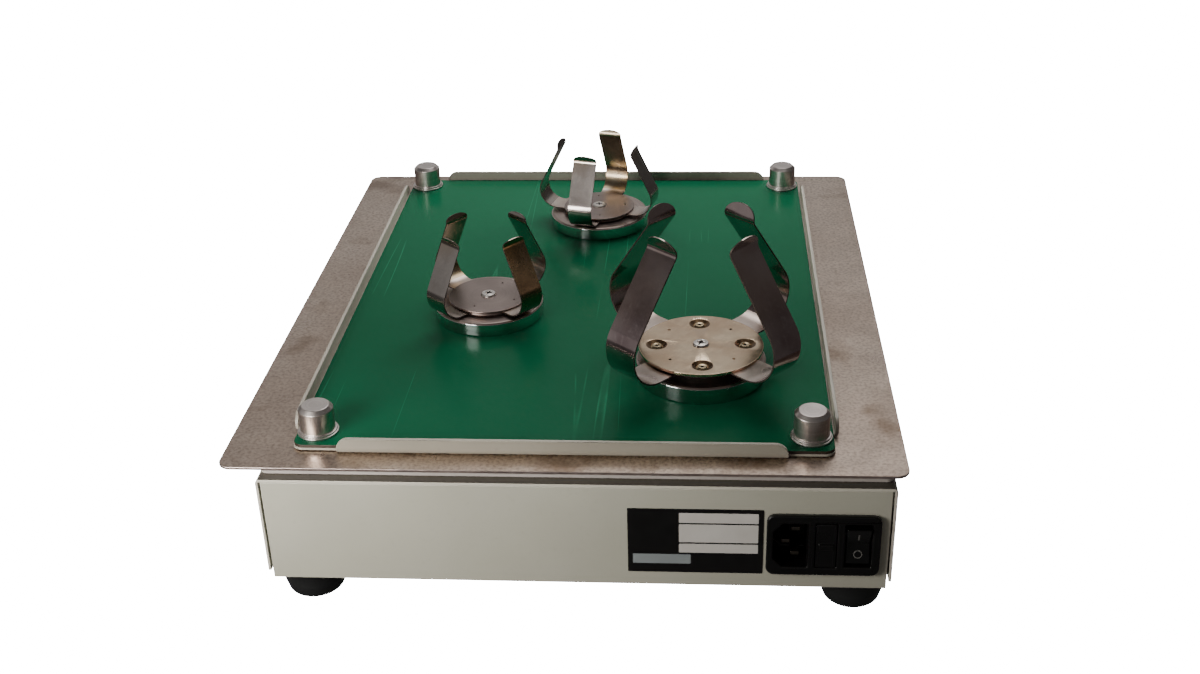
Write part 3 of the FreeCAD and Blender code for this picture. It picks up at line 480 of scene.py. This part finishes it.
def lathe(name, corners, node, centre, turns=128, material=None, ribs=0, rib_depth=0.0, tilt=None):
    """Solid of revolution about the piece's own Z axis, from (radius, height, rounding) corners in mm."""
    mesh = bmesh.new()
    rings = []
    for radius, height in rounded(corners):
        if radius < 1e-6:  # a point on the axis
            rings.append([mesh.verts.new((0, 0, height * MM))])
            continue
        ring = []
        for k in range(turns):
            angle = 2 * math.pi * k / turns
            wave = 1 - rib_depth * (0.5 - 0.5 * math.cos(angle * ribs)) if ribs else 1
            reach = radius * wave * MM
            ring.append(mesh.verts.new((reach * math.cos(angle), reach * math.sin(angle), height * MM)))
        rings.append(ring)
    for low, high in zip(rings, rings[1:]):
        for k in range(turns):
            following = (k + 1) % turns
            if len(low) == 1 and len(high) == 1:
                break
            if len(low) == 1:
                mesh.faces.new((low[0], high[k], high[following]))
            elif len(high) == 1:
                mesh.faces.new((low[k], high[0], low[following]))
            else:
                mesh.faces.new((low[k], high[k], high[following], low[following]))
    made = piece(name, mesh, node, material)
    made.location = centre
    if tilt is not None:
        made.rotation_euler = tilt
    return made


def slab(name, node, low, high, radius, edge, material=None, steps=10):
    """Flat plate with round corners and softened rims, between two heights."""
    mesh = bmesh.new()
    x0, y0, z0 = low
    x1, y1, z1 = high
    outline = []
    for cx, cy, start in ((x1 - radius, y1 - radius, 0), (x0 + radius, y1 - radius, 90),
                          (x0 + radius, y0 + radius, 180), (x1 - radius, y0 + radius, 270)):
        for k in range(steps + 1):
            angle = math.radians(start + 90 * k / steps)
            outline.append((cx + radius * math.cos(angle), cy + radius * math.sin(angle)))
    bottom = [mesh.verts.new((x, y, z0)) for x, y in outline]
    top = [mesh.verts.new((x, y, z1)) for x, y in outline]
    mesh.faces.new(top)
    mesh.faces.new(list(reversed(bottom)))
    wall(mesh, bottom, top)
    made = piece(name, mesh, node, material)
    return soften(made, edge, 3, 50.0)


def eased(node, width, segments=2, material=None):
    """The CAD node's own shape with its hard edges rounded."""
    mesh = bmesh.new()
    mesh.from_mesh(NODES[node].data)
    bmesh.ops.remove_doubles(mesh, verts=mesh.verts, dist=2e-6)
    bmesh.ops.dissolve_limit(mesh, angle_limit=math.radians(0.4), verts=mesh.verts, edges=mesh.edges)
    return soften(piece(node + "_soft", mesh, node, material), width, segments)


def ribbon(name, node, path, thick, half_width, start=None, end=None, material=None, inner=None, rim=None):
    """Strip of sheet swept along a path in the piece's XZ plane; sizes in mm.

    An end given as (length, depth) is rounded off as part of an ellipse. material, inner and rim are the finishes of
    the outer side, the inner side and the two edges.
    """
    own = material or SLOT_OF[node]
    finishes = (own, inner or own, rim or own)
    lengths = [0.0]
    for a, b in zip(path, path[1:]):
        lengths.append(lengths[-1] + (b - a).length)
    total = lengths[-1]

    def at(distance):
        for i in range(len(path) - 1):
            if distance <= lengths[i + 1] or i == len(path) - 2:
                span = lengths[i + 1] - lengths[i]
                return path[i].lerp(path[i + 1], (distance - lengths[i]) / span)

    def cap(size):
        """Distances from a tip at which its rounding gets a station."""
        if not size:
            return [0.0]
        return [size[0] * (1 - math.cos(math.pi / 2 * k / CAP_STEPS)) for k in range(CAP_STEPS)]

    first_full = start[0] if start else 0.0
    last_full = total - end[0] if end else total
    stations = sorted(set(cap(start) + [total - s for s in cap(end)]
                          + [s for s in lengths if first_full < s < last_full]))
    mesh = bmesh.new()
    rows = []
    for s in stations:
        spot = at(s)
        ahead = at(min(s + NEARBY, total)) - at(max(s - NEARBY, 0.0))
        up = Vector((-ahead.y, ahead.x)).normalized() * thick / 2
        reach = half_width
        for size, gone in ((start, s), (end, total - s)):
            if size and gone < size[0]:
                arch = math.sqrt(max(1 - (1 - gone / size[0]) ** 2, 0.0))
                reach = max(half_width - size[1] * (1 - arch), TIP_HALF)
        row = []
        for side, lift in ((-1, -1), (1, -1), (1, 1), (-1, 1)):
            x, z = spot + up * lift
            row.append(mesh.verts.new((x * MM, side * reach * MM, z * MM)))
        rows.append(row)
    for first, second in zip(rows, rows[1:]):
        for face, finish in zip(wall(mesh, first, second), (0, 2, 1, 2)):
            face.material_index = finish
    mesh.faces.new(rows[0])
    mesh.faces.new(rows[-1])
    made = piece(name, mesh, node, finishes[0], smooth=40.0)
    for finish in finishes[1:]:
        made.data.materials.append(MATERIALS[finish])
    soften(made, thick * 0.15 * MM, 2, 60.0)
    made.modifiers["Edge"].material = 2
    return made


def carve(made, cutters):
    """Cuts solids out of a piece; the cutters go away."""
    for cutter in cutters:
        step = made.modifiers.new("Cut", "BOOLEAN")
        step.operation = "DIFFERENCE"
        step.solver = "EXACT"
        step.object = cutter
        made.modifiers.move(len(made.modifiers) - 1, 0)
    bpy.context.view_layer.update()
    shaped = bpy.data.meshes.new_from_object(made.evaluated_get(bpy.context.evaluated_depsgraph_get()))
    made.modifiers.clear()
    made.data = shaped
    shaped.set_sharp_from_angle(angle=math.radians(SMOOTH))
    even_normals(made)
    for cutter in cutters:
        bpy.data.objects.remove(cutter)


def plain_box(low, high):
    mesh = bmesh.new()
    bmesh.ops.create_cube(mesh, size=1.0)
    for vertex in mesh.verts:
        for axis in range(3):
            vertex.co[axis] = low[axis] if vertex.co[axis] < 0 else high[axis]
    return mesh


# ---------------------------------------------------------------- the case

def case():
    widths = {"rear_panel": 0.3, "front_panel": 0.3, "top_cover": 0.3, "base_plate": 0.2}
    for node, width in widths.items():
        made = eased(node, width * MM)
        if node == "top_cover":
            # the cover's upward faces get the darker paint, a painted shade of the tray overhanging them
            facing(made, "ledge_dark", (0, 0, 1))
            # the cover's rear-facing faces get the paler paint, a painted highlight along its rear edge
            facing(made, "edge_light", (0, 1, 0))
        settle(made)
    low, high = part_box("cover_deck")
    # the deck's paint is paler than the case paint, painted light on its shaded rear face
    settle(slab("cover_deck_sheet", "cover_deck", low, high, 4 * MM, 0.9 * MM))


def foot(node):
    low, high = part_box(node)
    height = (high.z - low.z) / MM
    centre = Vector(((low.x + high.x) / 2, (low.y + high.y) / 2, low.z))
    corners = [(0, 4, 0), (6, 4, 0.5), (6, 0.4, 0.8), (8, 0, 1.5), (13.6, 0, 3.0), (15.6, 7.5, 6.0),
               (16.6, height - 4, 3.0), (17, height - 1.2, 1.0), (16.4, height, 0.5), (0, height, 0)]
    settle(lathe(node + "_rubber", corners, node, centre))


def cross_cutter(centre, reach, width, top, deep, turn=0.0):
    """Two crossed bars that sink a driver recess; the cutter is one mesh."""
    taper = 0.55
    mesh = bmesh.new()
    outline = []
    for k in range(4):
        angle = math.radians(90 * k)
        for a, b in ((reach, -width / 2), (reach, width / 2), (width / 2, width / 2)):
            x = a * math.cos(angle) - b * math.sin(angle)
            y = a * math.sin(angle) + b * math.cos(angle)
            outline.append((x * MM, y * MM))
    roof = [mesh.verts.new((x, y, top * MM)) for x, y in outline]
    floor = [mesh.verts.new((x * taper, y * taper, (top - deep) * MM)) for x, y in outline]
    mesh.faces.new(roof)
    mesh.faces.new(list(reversed(floor)))
    wall(mesh, floor, roof)
    bmesh.ops.recalc_face_normals(mesh, faces=mesh.faces)
    cutter = link_object("cutter", as_mesh("cutter", mesh))
    cutter.location = centre
    cutter.rotation_euler = (0, 0, turn)
    return cutter


def side_screws():
    """Six domed screws along the lower edge of the cover's sides."""
    pitch, head = 140, 1.6
    corners = [(0, -5, 0), (2.0, -5, 0), (2.0, 0, 0), (3.8, 0, 0.2), (3.8, 0.5, 0.5), (2.6, 1.5, 1.6), (0, head, 0)]
    low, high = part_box("cover_screws")
    height = (low.z + high.z) / 2
    middle = (low.y + high.y) / 2
    for side, face, sign in (("left", low.x, -1), ("right", high.x, 1)):
        for k in (-1, 0, 1):
            centre = Vector((face - sign * head * MM, middle + k * pitch * MM, height))
            made = lathe("cover_screw_%s_%d" % (side, k + 2), corners, "cover_screws", (0, 0, 0), 48)
            carve(made, [cross_cutter((0, 0, 0), 2.2, 0.8, 2.0, 1.4)])
            made.location = centre
            made.rotation_euler = (0, math.radians(sign * 90), 0)
            settle(made)


# ---------------------------------------------------------------- rear connector module and label

def inlet():
    settle(eased("inlet_body", 0.7 * MM, 3))
    # the pins' metal is darkened, painted shade for the inlet cavity
    settle(eased("inlet_pins", 0.3 * MM, material="pin_metal"))
    settle(eased("fuse_drawer", 0.5 * MM, 3))
    settle(eased("rocker_switch", 0.6 * MM, 3))
    rocker_marks()


def rocker_marks():
    """Grey bar and ring printed on the two halves of the rocker."""
    half_tall, upper_rise, lower_fall = 10.2, 4.2, 2.1
    reach, sunk, proud = 5.4, -0.3, 0.06
    low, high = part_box("rocker_switch")
    ridge = Vector(((low.x + high.x) / 2, high.y - upper_rise * MM, (low.z + high.z) / 2))
    side = Vector((1, 0, 0))
    bar = [(-0.35, -2.1), (0.35, -2.1), (0.35, 2.1), (-0.35, 2.1)]
    turns = [2 * math.pi * k / 32 for k in range(32)]
    ring = [[(radius * math.cos(turn), radius * math.sin(turn)) for turn in turns] for radius in (2.1, 1.6)]
    for name, along, loops in (("mark_bar", Vector((0, upper_rise, half_tall)), [bar]),
                               ("mark_ring", Vector((0, lower_fall, -half_tall)), ring)):
        along.normalize()
        out = Vector((0, along.z, -along.y)) if along.z > 0 else Vector((0, -along.z, along.y))
        spot = ridge + along * reach * MM
        mesh = bmesh.new()
        rows = []
        for loop in loops:
            for lift in (sunk, proud):
                rows.append([mesh.verts.new(spot + side * a * MM + along * b * MM + out * lift * MM)
                             for a, b in loop])
        if len(rows) == 2:
            wall(mesh, rows[0], rows[1])
            mesh.faces.new(rows[0])
            mesh.faces.new(rows[1])
        else:
            for first, second in ((0, 1), (1, 3), (3, 2), (2, 0)):
                wall(mesh, rows[first], rows[second])
        settle(piece("rocker_" + name, mesh, "rocker_switch", "mark_grey"), replaced=False)


def label():
    """Blank rating label: black film with three pale fields and a tinted strip, nothing written on it."""
    low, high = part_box("rating_label")
    wide = high.x - low.x
    tall = high.z - low.z
    print_thick = 0.05 * MM
    back = low.y
    front = high.y - print_thick

    def upright_slab(name, x0, z0, x1, z1, y0, y1, radius, material):
        """A slab made lying down and then stood up by swapping its Y and Z."""
        made = slab(name, "rating_label", (x0, z0, y0), (x1, z1, y1), radius, 0.02 * MM, material)
        made.data.transform(Matrix(((1, 0, 0, 0), (0, 0, 1, 0), (0, 1, 0, 0), (0, 0, 0, 1))))
        made.data.flip_normals()
        return made

    settle(upright_slab("label_sheet", low.x, low.z, high.x, high.z, back, front, 0.5 * MM, "label_film"))
    # shares of the label's width (from, to) and height (from, to)
    fields = [(0.037, 0.62, 0.786, 0.94, "label_light"), (0.037, 0.62, 0.482, 0.764, "label_light"),
              (0.037, 0.62, 0.318, 0.459, "label_light"), (0.533, 0.963, 0.139, 0.288, "label_tint")]
    for i, (a, b, c, d, finish) in enumerate(fields):
        spot = (low.x + a * wide, low.z + c * tall, low.x + b * wide, low.z + d * tall)
        made = upright_slab("label_field_%d" % (i + 1), *spot, front - print_thick, high.y, 0.4 * MM, finish)
        settle(made, replaced=False)


# ---------------------------------------------------------------- front controls

UPRIGHT = (math.radians(90), 0, 0)  # turns a piece's own Z axis to the front


def front_controls():
    settle(eased("control_overlay", 0.2 * MM))
    settle(eased("display_window", 0.3 * MM))
    knob_deep, button_deep = 15, 2.6
    low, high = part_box("speed_knob")
    centre = Vector(((low.x + high.x) / 2, low.y + knob_deep * MM, (low.z + high.z) / 2))
    corners = [(0, 1.2, 0), (12.3, 1.2, 0.4), (12.5, 4, 0.8), (10.6, 13.6, 0.8), (9.6, knob_deep, 0.9),
               (8.6, 14.8, 0.4), (8.4, 14.6, 0.2), (0, 14.6, 0)]
    settle(lathe("speed_knob_grip", corners, "speed_knob", centre, 240, ribs=24, rib_depth=0.035, tilt=UPRIGHT))
    bar = plain_box((-0.6 * MM, 3.0 * MM, 14.2 * MM), (0.6 * MM, 8.2 * MM, 14.75 * MM))
    mark = soften(piece("speed_knob_mark", bar, "speed_knob", "mark_white"), 0.15 * MM)
    mark.location = centre
    mark.rotation_euler = UPRIGHT
    settle(mark, replaced=False)
    corners = [(0, -3.6, 0), (6.6, -3.6, 0.3), (6.6, -2.0, 0.3), (5.0, -2.0, 0.2), (5.0, 2.0, 0.9),
               (3.6, button_deep, 1.5), (0, 2.2, 0)]
    for node in ("start_button", "stop_button"):
        low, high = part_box(node)
        centre = Vector(((low.x + high.x) / 2, low.y + button_deep * MM, (low.z + high.z) / 2))
        settle(lathe(node + "_cap", corners, node, centre, 96, tilt=UPRIGHT))
    dial_marks()


def dial_marks():
    """Scale strokes round the knob, printed on the overlay."""
    low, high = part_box("speed_knob")
    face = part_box("control_overlay")[0].y
    centre = Vector(((low.x + high.x) / 2, face, (low.z + high.z) / 2))
    mesh = bmesh.new()
    strokes, half_sweep, thick = 11, 140, 0.06 * MM
    for k in range(strokes):
        angle = math.radians(-half_sweep + 2 * half_sweep / (strokes - 1) * k)
        out = Vector((math.sin(angle), 0, math.cos(angle)))
        side = Vector((out.z, 0, -out.x))
        inner, outer, half = 14.6 * MM, (17.2 if k % 5 == 0 else 16.4) * MM, 0.28 * MM
        rows = []
        for lift in (-thick / 2, thick / 2):
            base = centre + Vector((0, -lift, 0))
            rows.append([mesh.verts.new(base + out * a + side * b) for a, b in
                         ((inner, -half), (outer, -half), (outer, half), (inner, half))])
        mesh.faces.new(rows[0])
        mesh.faces.new(rows[1])
        wall(mesh, *rows)
    settle(piece("dial_strokes", mesh, "control_overlay", "mark_white"), replaced=False)


# ---------------------------------------------------------------- platform

def platform():
    low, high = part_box("platform_tray")
    sheet = slab("tray_sheet", "platform_tray", low, high, 6.5 * MM, 0.3 * MM, steps=16)
    on_sides(sheet, "tray_edge")
    settle(sheet)
    low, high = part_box("green_mat")
    mat = slab("mat_sheet", "green_mat", low, high, 5 * MM, 0.2 * MM, steps=12)
    # the mat's side faces are painted dark, a painted shade under its edge
    on_sides(mat, "mat_edge")
    settle(mat)
    pan()
    posts()


def posts():
    """Four turned corner posts, each with a stepped base flange and a stud below."""
    flange = 9.9
    corners = [(0, -7.5, 0), (3, -7.5, 0), (3, 0, 0), (flange, 0, 0.2), (flange, 1.0, 0.3), (9.3, 1.1, 0.1),
               (9.3, 2.0, 0.3), (8.4, 2.05, 0.15), (8.4, 12.8, 0.4), (6.5, 14.7, 0.5), (0, 14.7, 0)]
    low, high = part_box("corner_posts")
    reach = Vector(((high.x - low.x) / 2 - flange * MM, (high.y - low.y) / 2 - flange * MM, 0))
    middle = (low + high) / 2
    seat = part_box("green_mat")[1].z
    for end, b in (("front", -1), ("rear", 1)):
        for side, a in (("left", -1), ("right", 1)):
            spot = Vector((middle.x + a * reach.x, middle.y + b * reach.y, seat))
            settle(lathe("post_%s_%s" % (end, side), corners, "corner_posts", spot))


def pan():
    """Pan floor with four bent-up lips, each rounded off towards the corners."""
    low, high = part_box("pan")
    thick, overlap = 1.6, 9.0
    inset = 2.5 * MM
    gap = 0.4 * MM  # gives the dark line between pan and tray
    settle(slab("pan_floor", "pan", (low.x + inset, low.y + inset, low.z + gap),
                (high.x - inset, high.y - inset, low.z + thick * MM), 5 * MM, 0.3 * MM, steps=12))
    tall = (high.z - low.z) / MM
    short_lip, long_lip = 211.6, 300.0
    edges = (("front", short_lip, -low.y, -90), ("rear", short_lip, high.y, 90),
             ("left", long_lip, -low.x, 180), ("right", long_lip, high.x, 0))
    for word, long, away, turn in edges:
        face = away / MM
        middle = face - thick / 2
        path = rounded([(face - overlap, thick / 2, 0), (middle, thick / 2, 1.9), (middle, tall, 0)])
        made = ribbon("pan_lip_" + word, "pan", path, thick, long / 2, end=(6.5, 6.5))
        made.location = (0, 0, low.z)
        made.rotation_euler = (0, 0, math.radians(turn))
        settle(made, replaced=False)


# ---------------------------------------------------------------- clamps

# Sizes in mm. span, crease and tip are half widths of the arms, rim the cup's height, slant the sheet's own lean
# at the crease, and end the length and depth of a rounded tip.
BIG = {"span": 72.8, "crease": 27.1, "crease_z": 77.0, "tip": 29.8, "tip_z": 84.0, "bend": 17.4, "wide": 19.2,
       "thick": 0.8, "slant": 0.495, "end": (6.5, 9.6), "boss": 22.0, "rim": 9.3}
SMALL = {"span": 42.9, "crease": 23.4, "crease_z": 48.8, "tip": 24.7, "tip_z": 52.1, "bend": 10.9, "wide": 14.6,
         "thick": 0.6, "slant": 0.335, "end": (3.0, 7.3), "boss": 20.0, "rim": 8.0}

RIVET_REACH = 22.2  # mm from the large plate's centre to its rivets and marks

# outer and inner finish of each strip
FINISHES = {"clamp_large_strip_lower": ("spring_dark", None), "clamp_large_strip_upper": ("spring_dark", None),
            "clamp_small_a_strip_lower": ("spring_steel", None),
            "clamp_small_a_strip_upper": ("spring_brown", "spring_inner"),
            "clamp_small_b_strip_lower": ("spring_steel", "spring_inner"),
            "clamp_small_b_strip_upper": ("spring_steel", None)}


def arms(prefix, which, size, level, centre, turn):
    """One spring strip: flat across the magnet, bent up at both ends, leaning in, tips flared out."""
    half = size["thick"] / 2
    right = [(size["span"], level + half, size["bend"]),
             (size["crease"] - size["slant"], size["crease_z"], 4.0), (size["tip"] - size["slant"], size["tip_z"], 0)]
    left = [(-x, z, radius) for x, z, radius in reversed(right)]
    path = rounded(left + right, 20)
    node = "%s_strip_%s" % (prefix, which)
    made = ribbon(node + "_blade", node, path, size["thick"], size["wide"] / 2, size["end"], size["end"],
                  *FINISHES[node], rim="strip_edge")
    # faces that look up get the paler steel, painted light on the flats
    facing(made, "strip_flat", (0, 0, 1))
    made.location = centre
    made.rotation_euler = (0, 0, turn)
    settle(made)


def clamp(prefix, size, turn, seat):
    low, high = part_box(prefix + "_magnet")
    centre = Vector(((low.x + high.x) / 2, (low.y + high.y) / 2, seat))
    cup = (high.x - low.x) / 2 / MM
    boss = (high.z - seat) / MM
    rim = size["rim"]
    corners = [(0, 0, 0), (cup - 0.3, 0, 0.4), (cup, 1.0, 0.5), (cup, rim - 0.8, 0.4), (cup - 0.9, rim, 0.5),
               (size["boss"], rim, 0.3), (size["boss"] - 0.6, boss, 0.3), (0, boss, 0)]
    made = lathe(prefix + "_magnet_cup", corners, prefix + "_magnet", centre, 160)
    refinish(made, "magnet_face", lambda face: face.normal.z > 0.5)
    refinish(made, "shadow_black", lambda face: face.normal.z <= 0.5 and face.center.z > (rim + 0.1) * MM)
    settle(made)
    arms(prefix, "lower", size, boss, centre, turn)
    arms(prefix, "upper", size, boss + size["thick"], centre, turn + math.pi / 2)
    disc(prefix, size, centre, turn)
    screw(prefix, centre, turn)


def disc(prefix, size, centre, turn):
    """Round plate: small marks in it, and on the large clamp four rivets in countersunk dimples."""
    low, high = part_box(prefix + "_disc")
    radius = (high.x - low.x) / 2 / MM
    bottom = (low.z - centre.z) / MM
    top = (high.z - centre.z) / MM
    big = size is BIG
    finish = "disc_gold" if big else "disc_grey"
    corners = [(0, bottom, 0), (radius, bottom, 0.2), (radius, top, 0.35), (0, top, 0)]
    made = lathe(prefix + "_disc_plate", corners, prefix + "_disc", centre, 160, finish)
    made.rotation_euler = (0, 0, turn)
    below = bottom - 1

    def around(degrees, reach):
        angle = turn + math.radians(degrees)
        return centre + Vector((math.cos(angle), math.sin(angle), 0)) * reach * MM

    cutters = []
    if big:
        sink = [(0, below, 0), (3.3, below, 0), (3.3, bottom + 0.2, 0), (5.3, top, 0), (5.8, top + 0.4, 0),
                (0, top + 0.4, 0)]
        for k in range(4):
            spot = around(45 + 90 * k, RIVET_REACH)
            cutters.append(lathe("cutter", sink, prefix + "_disc", spot, 40))
            rivet(prefix, k + 1, spot, bottom, top - bottom)
        marks = [(90 * k, RIVET_REACH, 0.8) for k in range(4)]
    else:
        marks = [(20, 15.5, 0.6), (200, 15.5, 0.6), (110, 16.0, 0.6)]
    for degrees, reach, hole in marks:
        pit = [(0, below, 0), (hole, below, 0), (hole, top + 0.5, 0), (0, top + 0.5, 0)]
        cutters.append(lathe("cutter", pit, prefix + "_disc", around(degrees, reach), 20))
    carve(made, cutters)
    settle(made)


def rivet(prefix, number, spot, bottom, thick):
    """Hollow rivet in a browned dimple of the plate."""
    spot = spot + Vector((0, 0, bottom * MM))
    dish = [(0, 0.05, 0), (3.4, 0.05, 0), (5.5, thick - 0.1, 0.1), (5.3, thick + 0.03, 0.1), (3.3, 0.3, 0.3),
            (0, 0.3, 0)]
    made = lathe("%s_dimple_%d" % (prefix, number), dish, prefix + "_disc", spot, 64, "dimple_brown")
    settle(made, replaced=False)
    sleeve = [(0, 0.2, 0), (0.75, 0.2, 0.05), (0.85, 1.1, 0.15), (2.2, 1.3, 0.35), (3.1, 0.5, 0.4), (3.3, 0.2, 0),
              (0, 0, 0)]
    made = lathe("%s_rivet_%d" % (prefix, number), sleeve, prefix + "_rivets", spot, 64, "rivet_brass")
    refinish(made, "shadow_black", lambda face: off_axis(face) < 0.84 * MM and face.center.z < 0.9 * MM)
    settle(made)


def off_axis(face):
    return math.hypot(face.center.x, face.center.y)


def screw(prefix, centre, turn):
    """Flat screw head with a cross recess, which is dark inside."""
    top = (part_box(prefix + "_screw")[1].z - centre.z) / MM
    seat = top - 1.2
    recess = 2.3
    corners = [(0, seat - 2, 0), (2.4, seat - 2, 0), (2.4, seat, 0), (4.2, seat, 0.1), (4.2, seat + 0.25, 0.2),
               (3.7, top - 0.2, 0.4), (1.9, top, 0.6), (0, top, 0)]
    made = lathe(prefix + "_screw_head", corners, prefix + "_screw", centre, 64, "screw_steel")
    carve(made, [cross_cutter(centre, recess, 0.85, top + 0.4, 1.5, turn + 0.4)])

    def sunk(face):
        low_or_steep = face.normal.z < 0.8 or face.center.z < (top - 0.6) * MM
        return off_axis(face) < recess * MM and low_or_steep and face.center.z > seat * MM

    refinish(made, "shadow_black", sunk)
    settle(made)


def clamps():
    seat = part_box("green_mat")[1].z
    for prefix, size, degrees in (("clamp_large", BIG, 47.0), ("clamp_small_a", SMALL, 48.0),
                                  ("clamp_small_b", SMALL, 75.0)):
        clamp(prefix, size, math.radians(degrees), seat)


# ---------------------------------------------------------------- the studio

def look_through(location, forward, roll, lens):
    """The camera of the photo."""
    forward = Vector(forward).normalized()
    right = forward.cross(Vector((0, 0, 1))).normalized()
    up = right.cross(forward)
    turned_right = right * math.cos(roll) + up * math.sin(roll)
    turned_up = up * math.cos(roll) - right * math.sin(roll)
    data = bpy.data.cameras.new("photo_camera")
    data.lens = lens
    data.sensor_width = 36.0
    data.clip_start = 0.01
    camera = link_object("photo_camera", data)
    rows = Matrix((turned_right, turned_up, -forward)).transposed().to_4x4()
    rows.translation = Vector(location)
    camera.matrix_world = rows
    bpy.context.scene.camera = camera


def lamp(name, location, target, size, power, colour=(1.0, 1.0, 1.0), depth=None):
    """A rectangular lamp that looks at a target and is hidden from the camera."""
    data = bpy.data.lights.new(name, "AREA")
    data.shape = "RECTANGLE"
    data.size = size
    data.size_y = depth or size
    data.energy = power
    data.color = colour
    made = link_object(name, data)
    made.location = location
    made.rotation_euler = (Vector(target) - Vector(location)).to_track_quat("-Z", "Y").to_euler()
    made.visible_camera = False
    return made


def studio():
    """Glowing pale floor, a dim room, a near lamp at one end of the rear panel, and soft lamps round about."""
    mesh = bmesh.new()
    reach = 60.0
    mesh.faces.new([mesh.verts.new((x * reach, y * reach, 0)) for x, y in ((-1, -1), (1, -1), (1, 1), (-1, 1))])
    floor = link_object("floor", as_mesh("floor", mesh))
    paper = Finish("floor_paper", Roughness=0.7)
    paper.colour(paper.ramp(paper.noise(3.0), (0.3, rgb(236, 236, 236)), (0.7, rgb(242, 242, 242))))
    paper.shader.inputs["Emission Color"].default_value = (1, 1, 1, 1)
    paper.shader.inputs["Emission Strength"].default_value = 25.0
    floor.data.materials.append(paper.material)
    floor.visible_diffuse = False
    floor.visible_glossy = False

    world = bpy.data.worlds.new("room")
    bpy.context.scene.world = world
    world.use_nodes = True
    background = world.node_tree.nodes["Background"]
    background.inputs["Color"].default_value = (0.62, 0.6, 0.58, 1)
    background.inputs["Strength"].default_value = 0.12
    lamp("lamp_side", (0.26, 0.39, 0.2), (0.05, 0.1, 0.06), 0.16, 1.7, (1.0, 0.985, 0.95))
    lamp("softbox_over", (-0.1, -0.4, 1.02), (0, 0, 0.1), 0.7, 4.6)
    fill = lamp("fill_far", (-0.05, -0.4, 0.32), (0, -0.14, 0.09), 0.5, 4.2)
    fill.visible_glossy = False
    lamp("softbox_far", (0.3, -1.5, 0.8), (0, 0, 0.1), 3.2, 6.8, depth=1.8)
    lamp("softbox_left", (1.5, 0.3, 0.5), (0, 0, 0.1), 1.6, 0.9, depth=0.75)
    lamp("softbox_near_left", (0.9, 1.1, 0.95), (0, 0, 0.1), 0.6, 0.4)
    lamp("softbox_low", (0.1, 1.0, 0.12), (0, 0.17, 0.07), 1.2, 0.2, depth=0.3)


def main():
    look_through((-0.06529, 0.74076, 0.45260), (0.0695, -0.8813, -0.4674), math.radians(-1.685), 43.73)
    case()
    for node in ("foot_front_left", "foot_front_right", "foot_rear_left", "foot_rear_right"):
        foot(node)
    side_screws()
    inlet()
    label()
    front_controls()
    platform()
    clamps()
    studio()
    for node, shown in NODES.items():
        shown.data.materials.clear()
        shown.data.materials.append(MATERIALS[SLOT_OF[node]])


main()
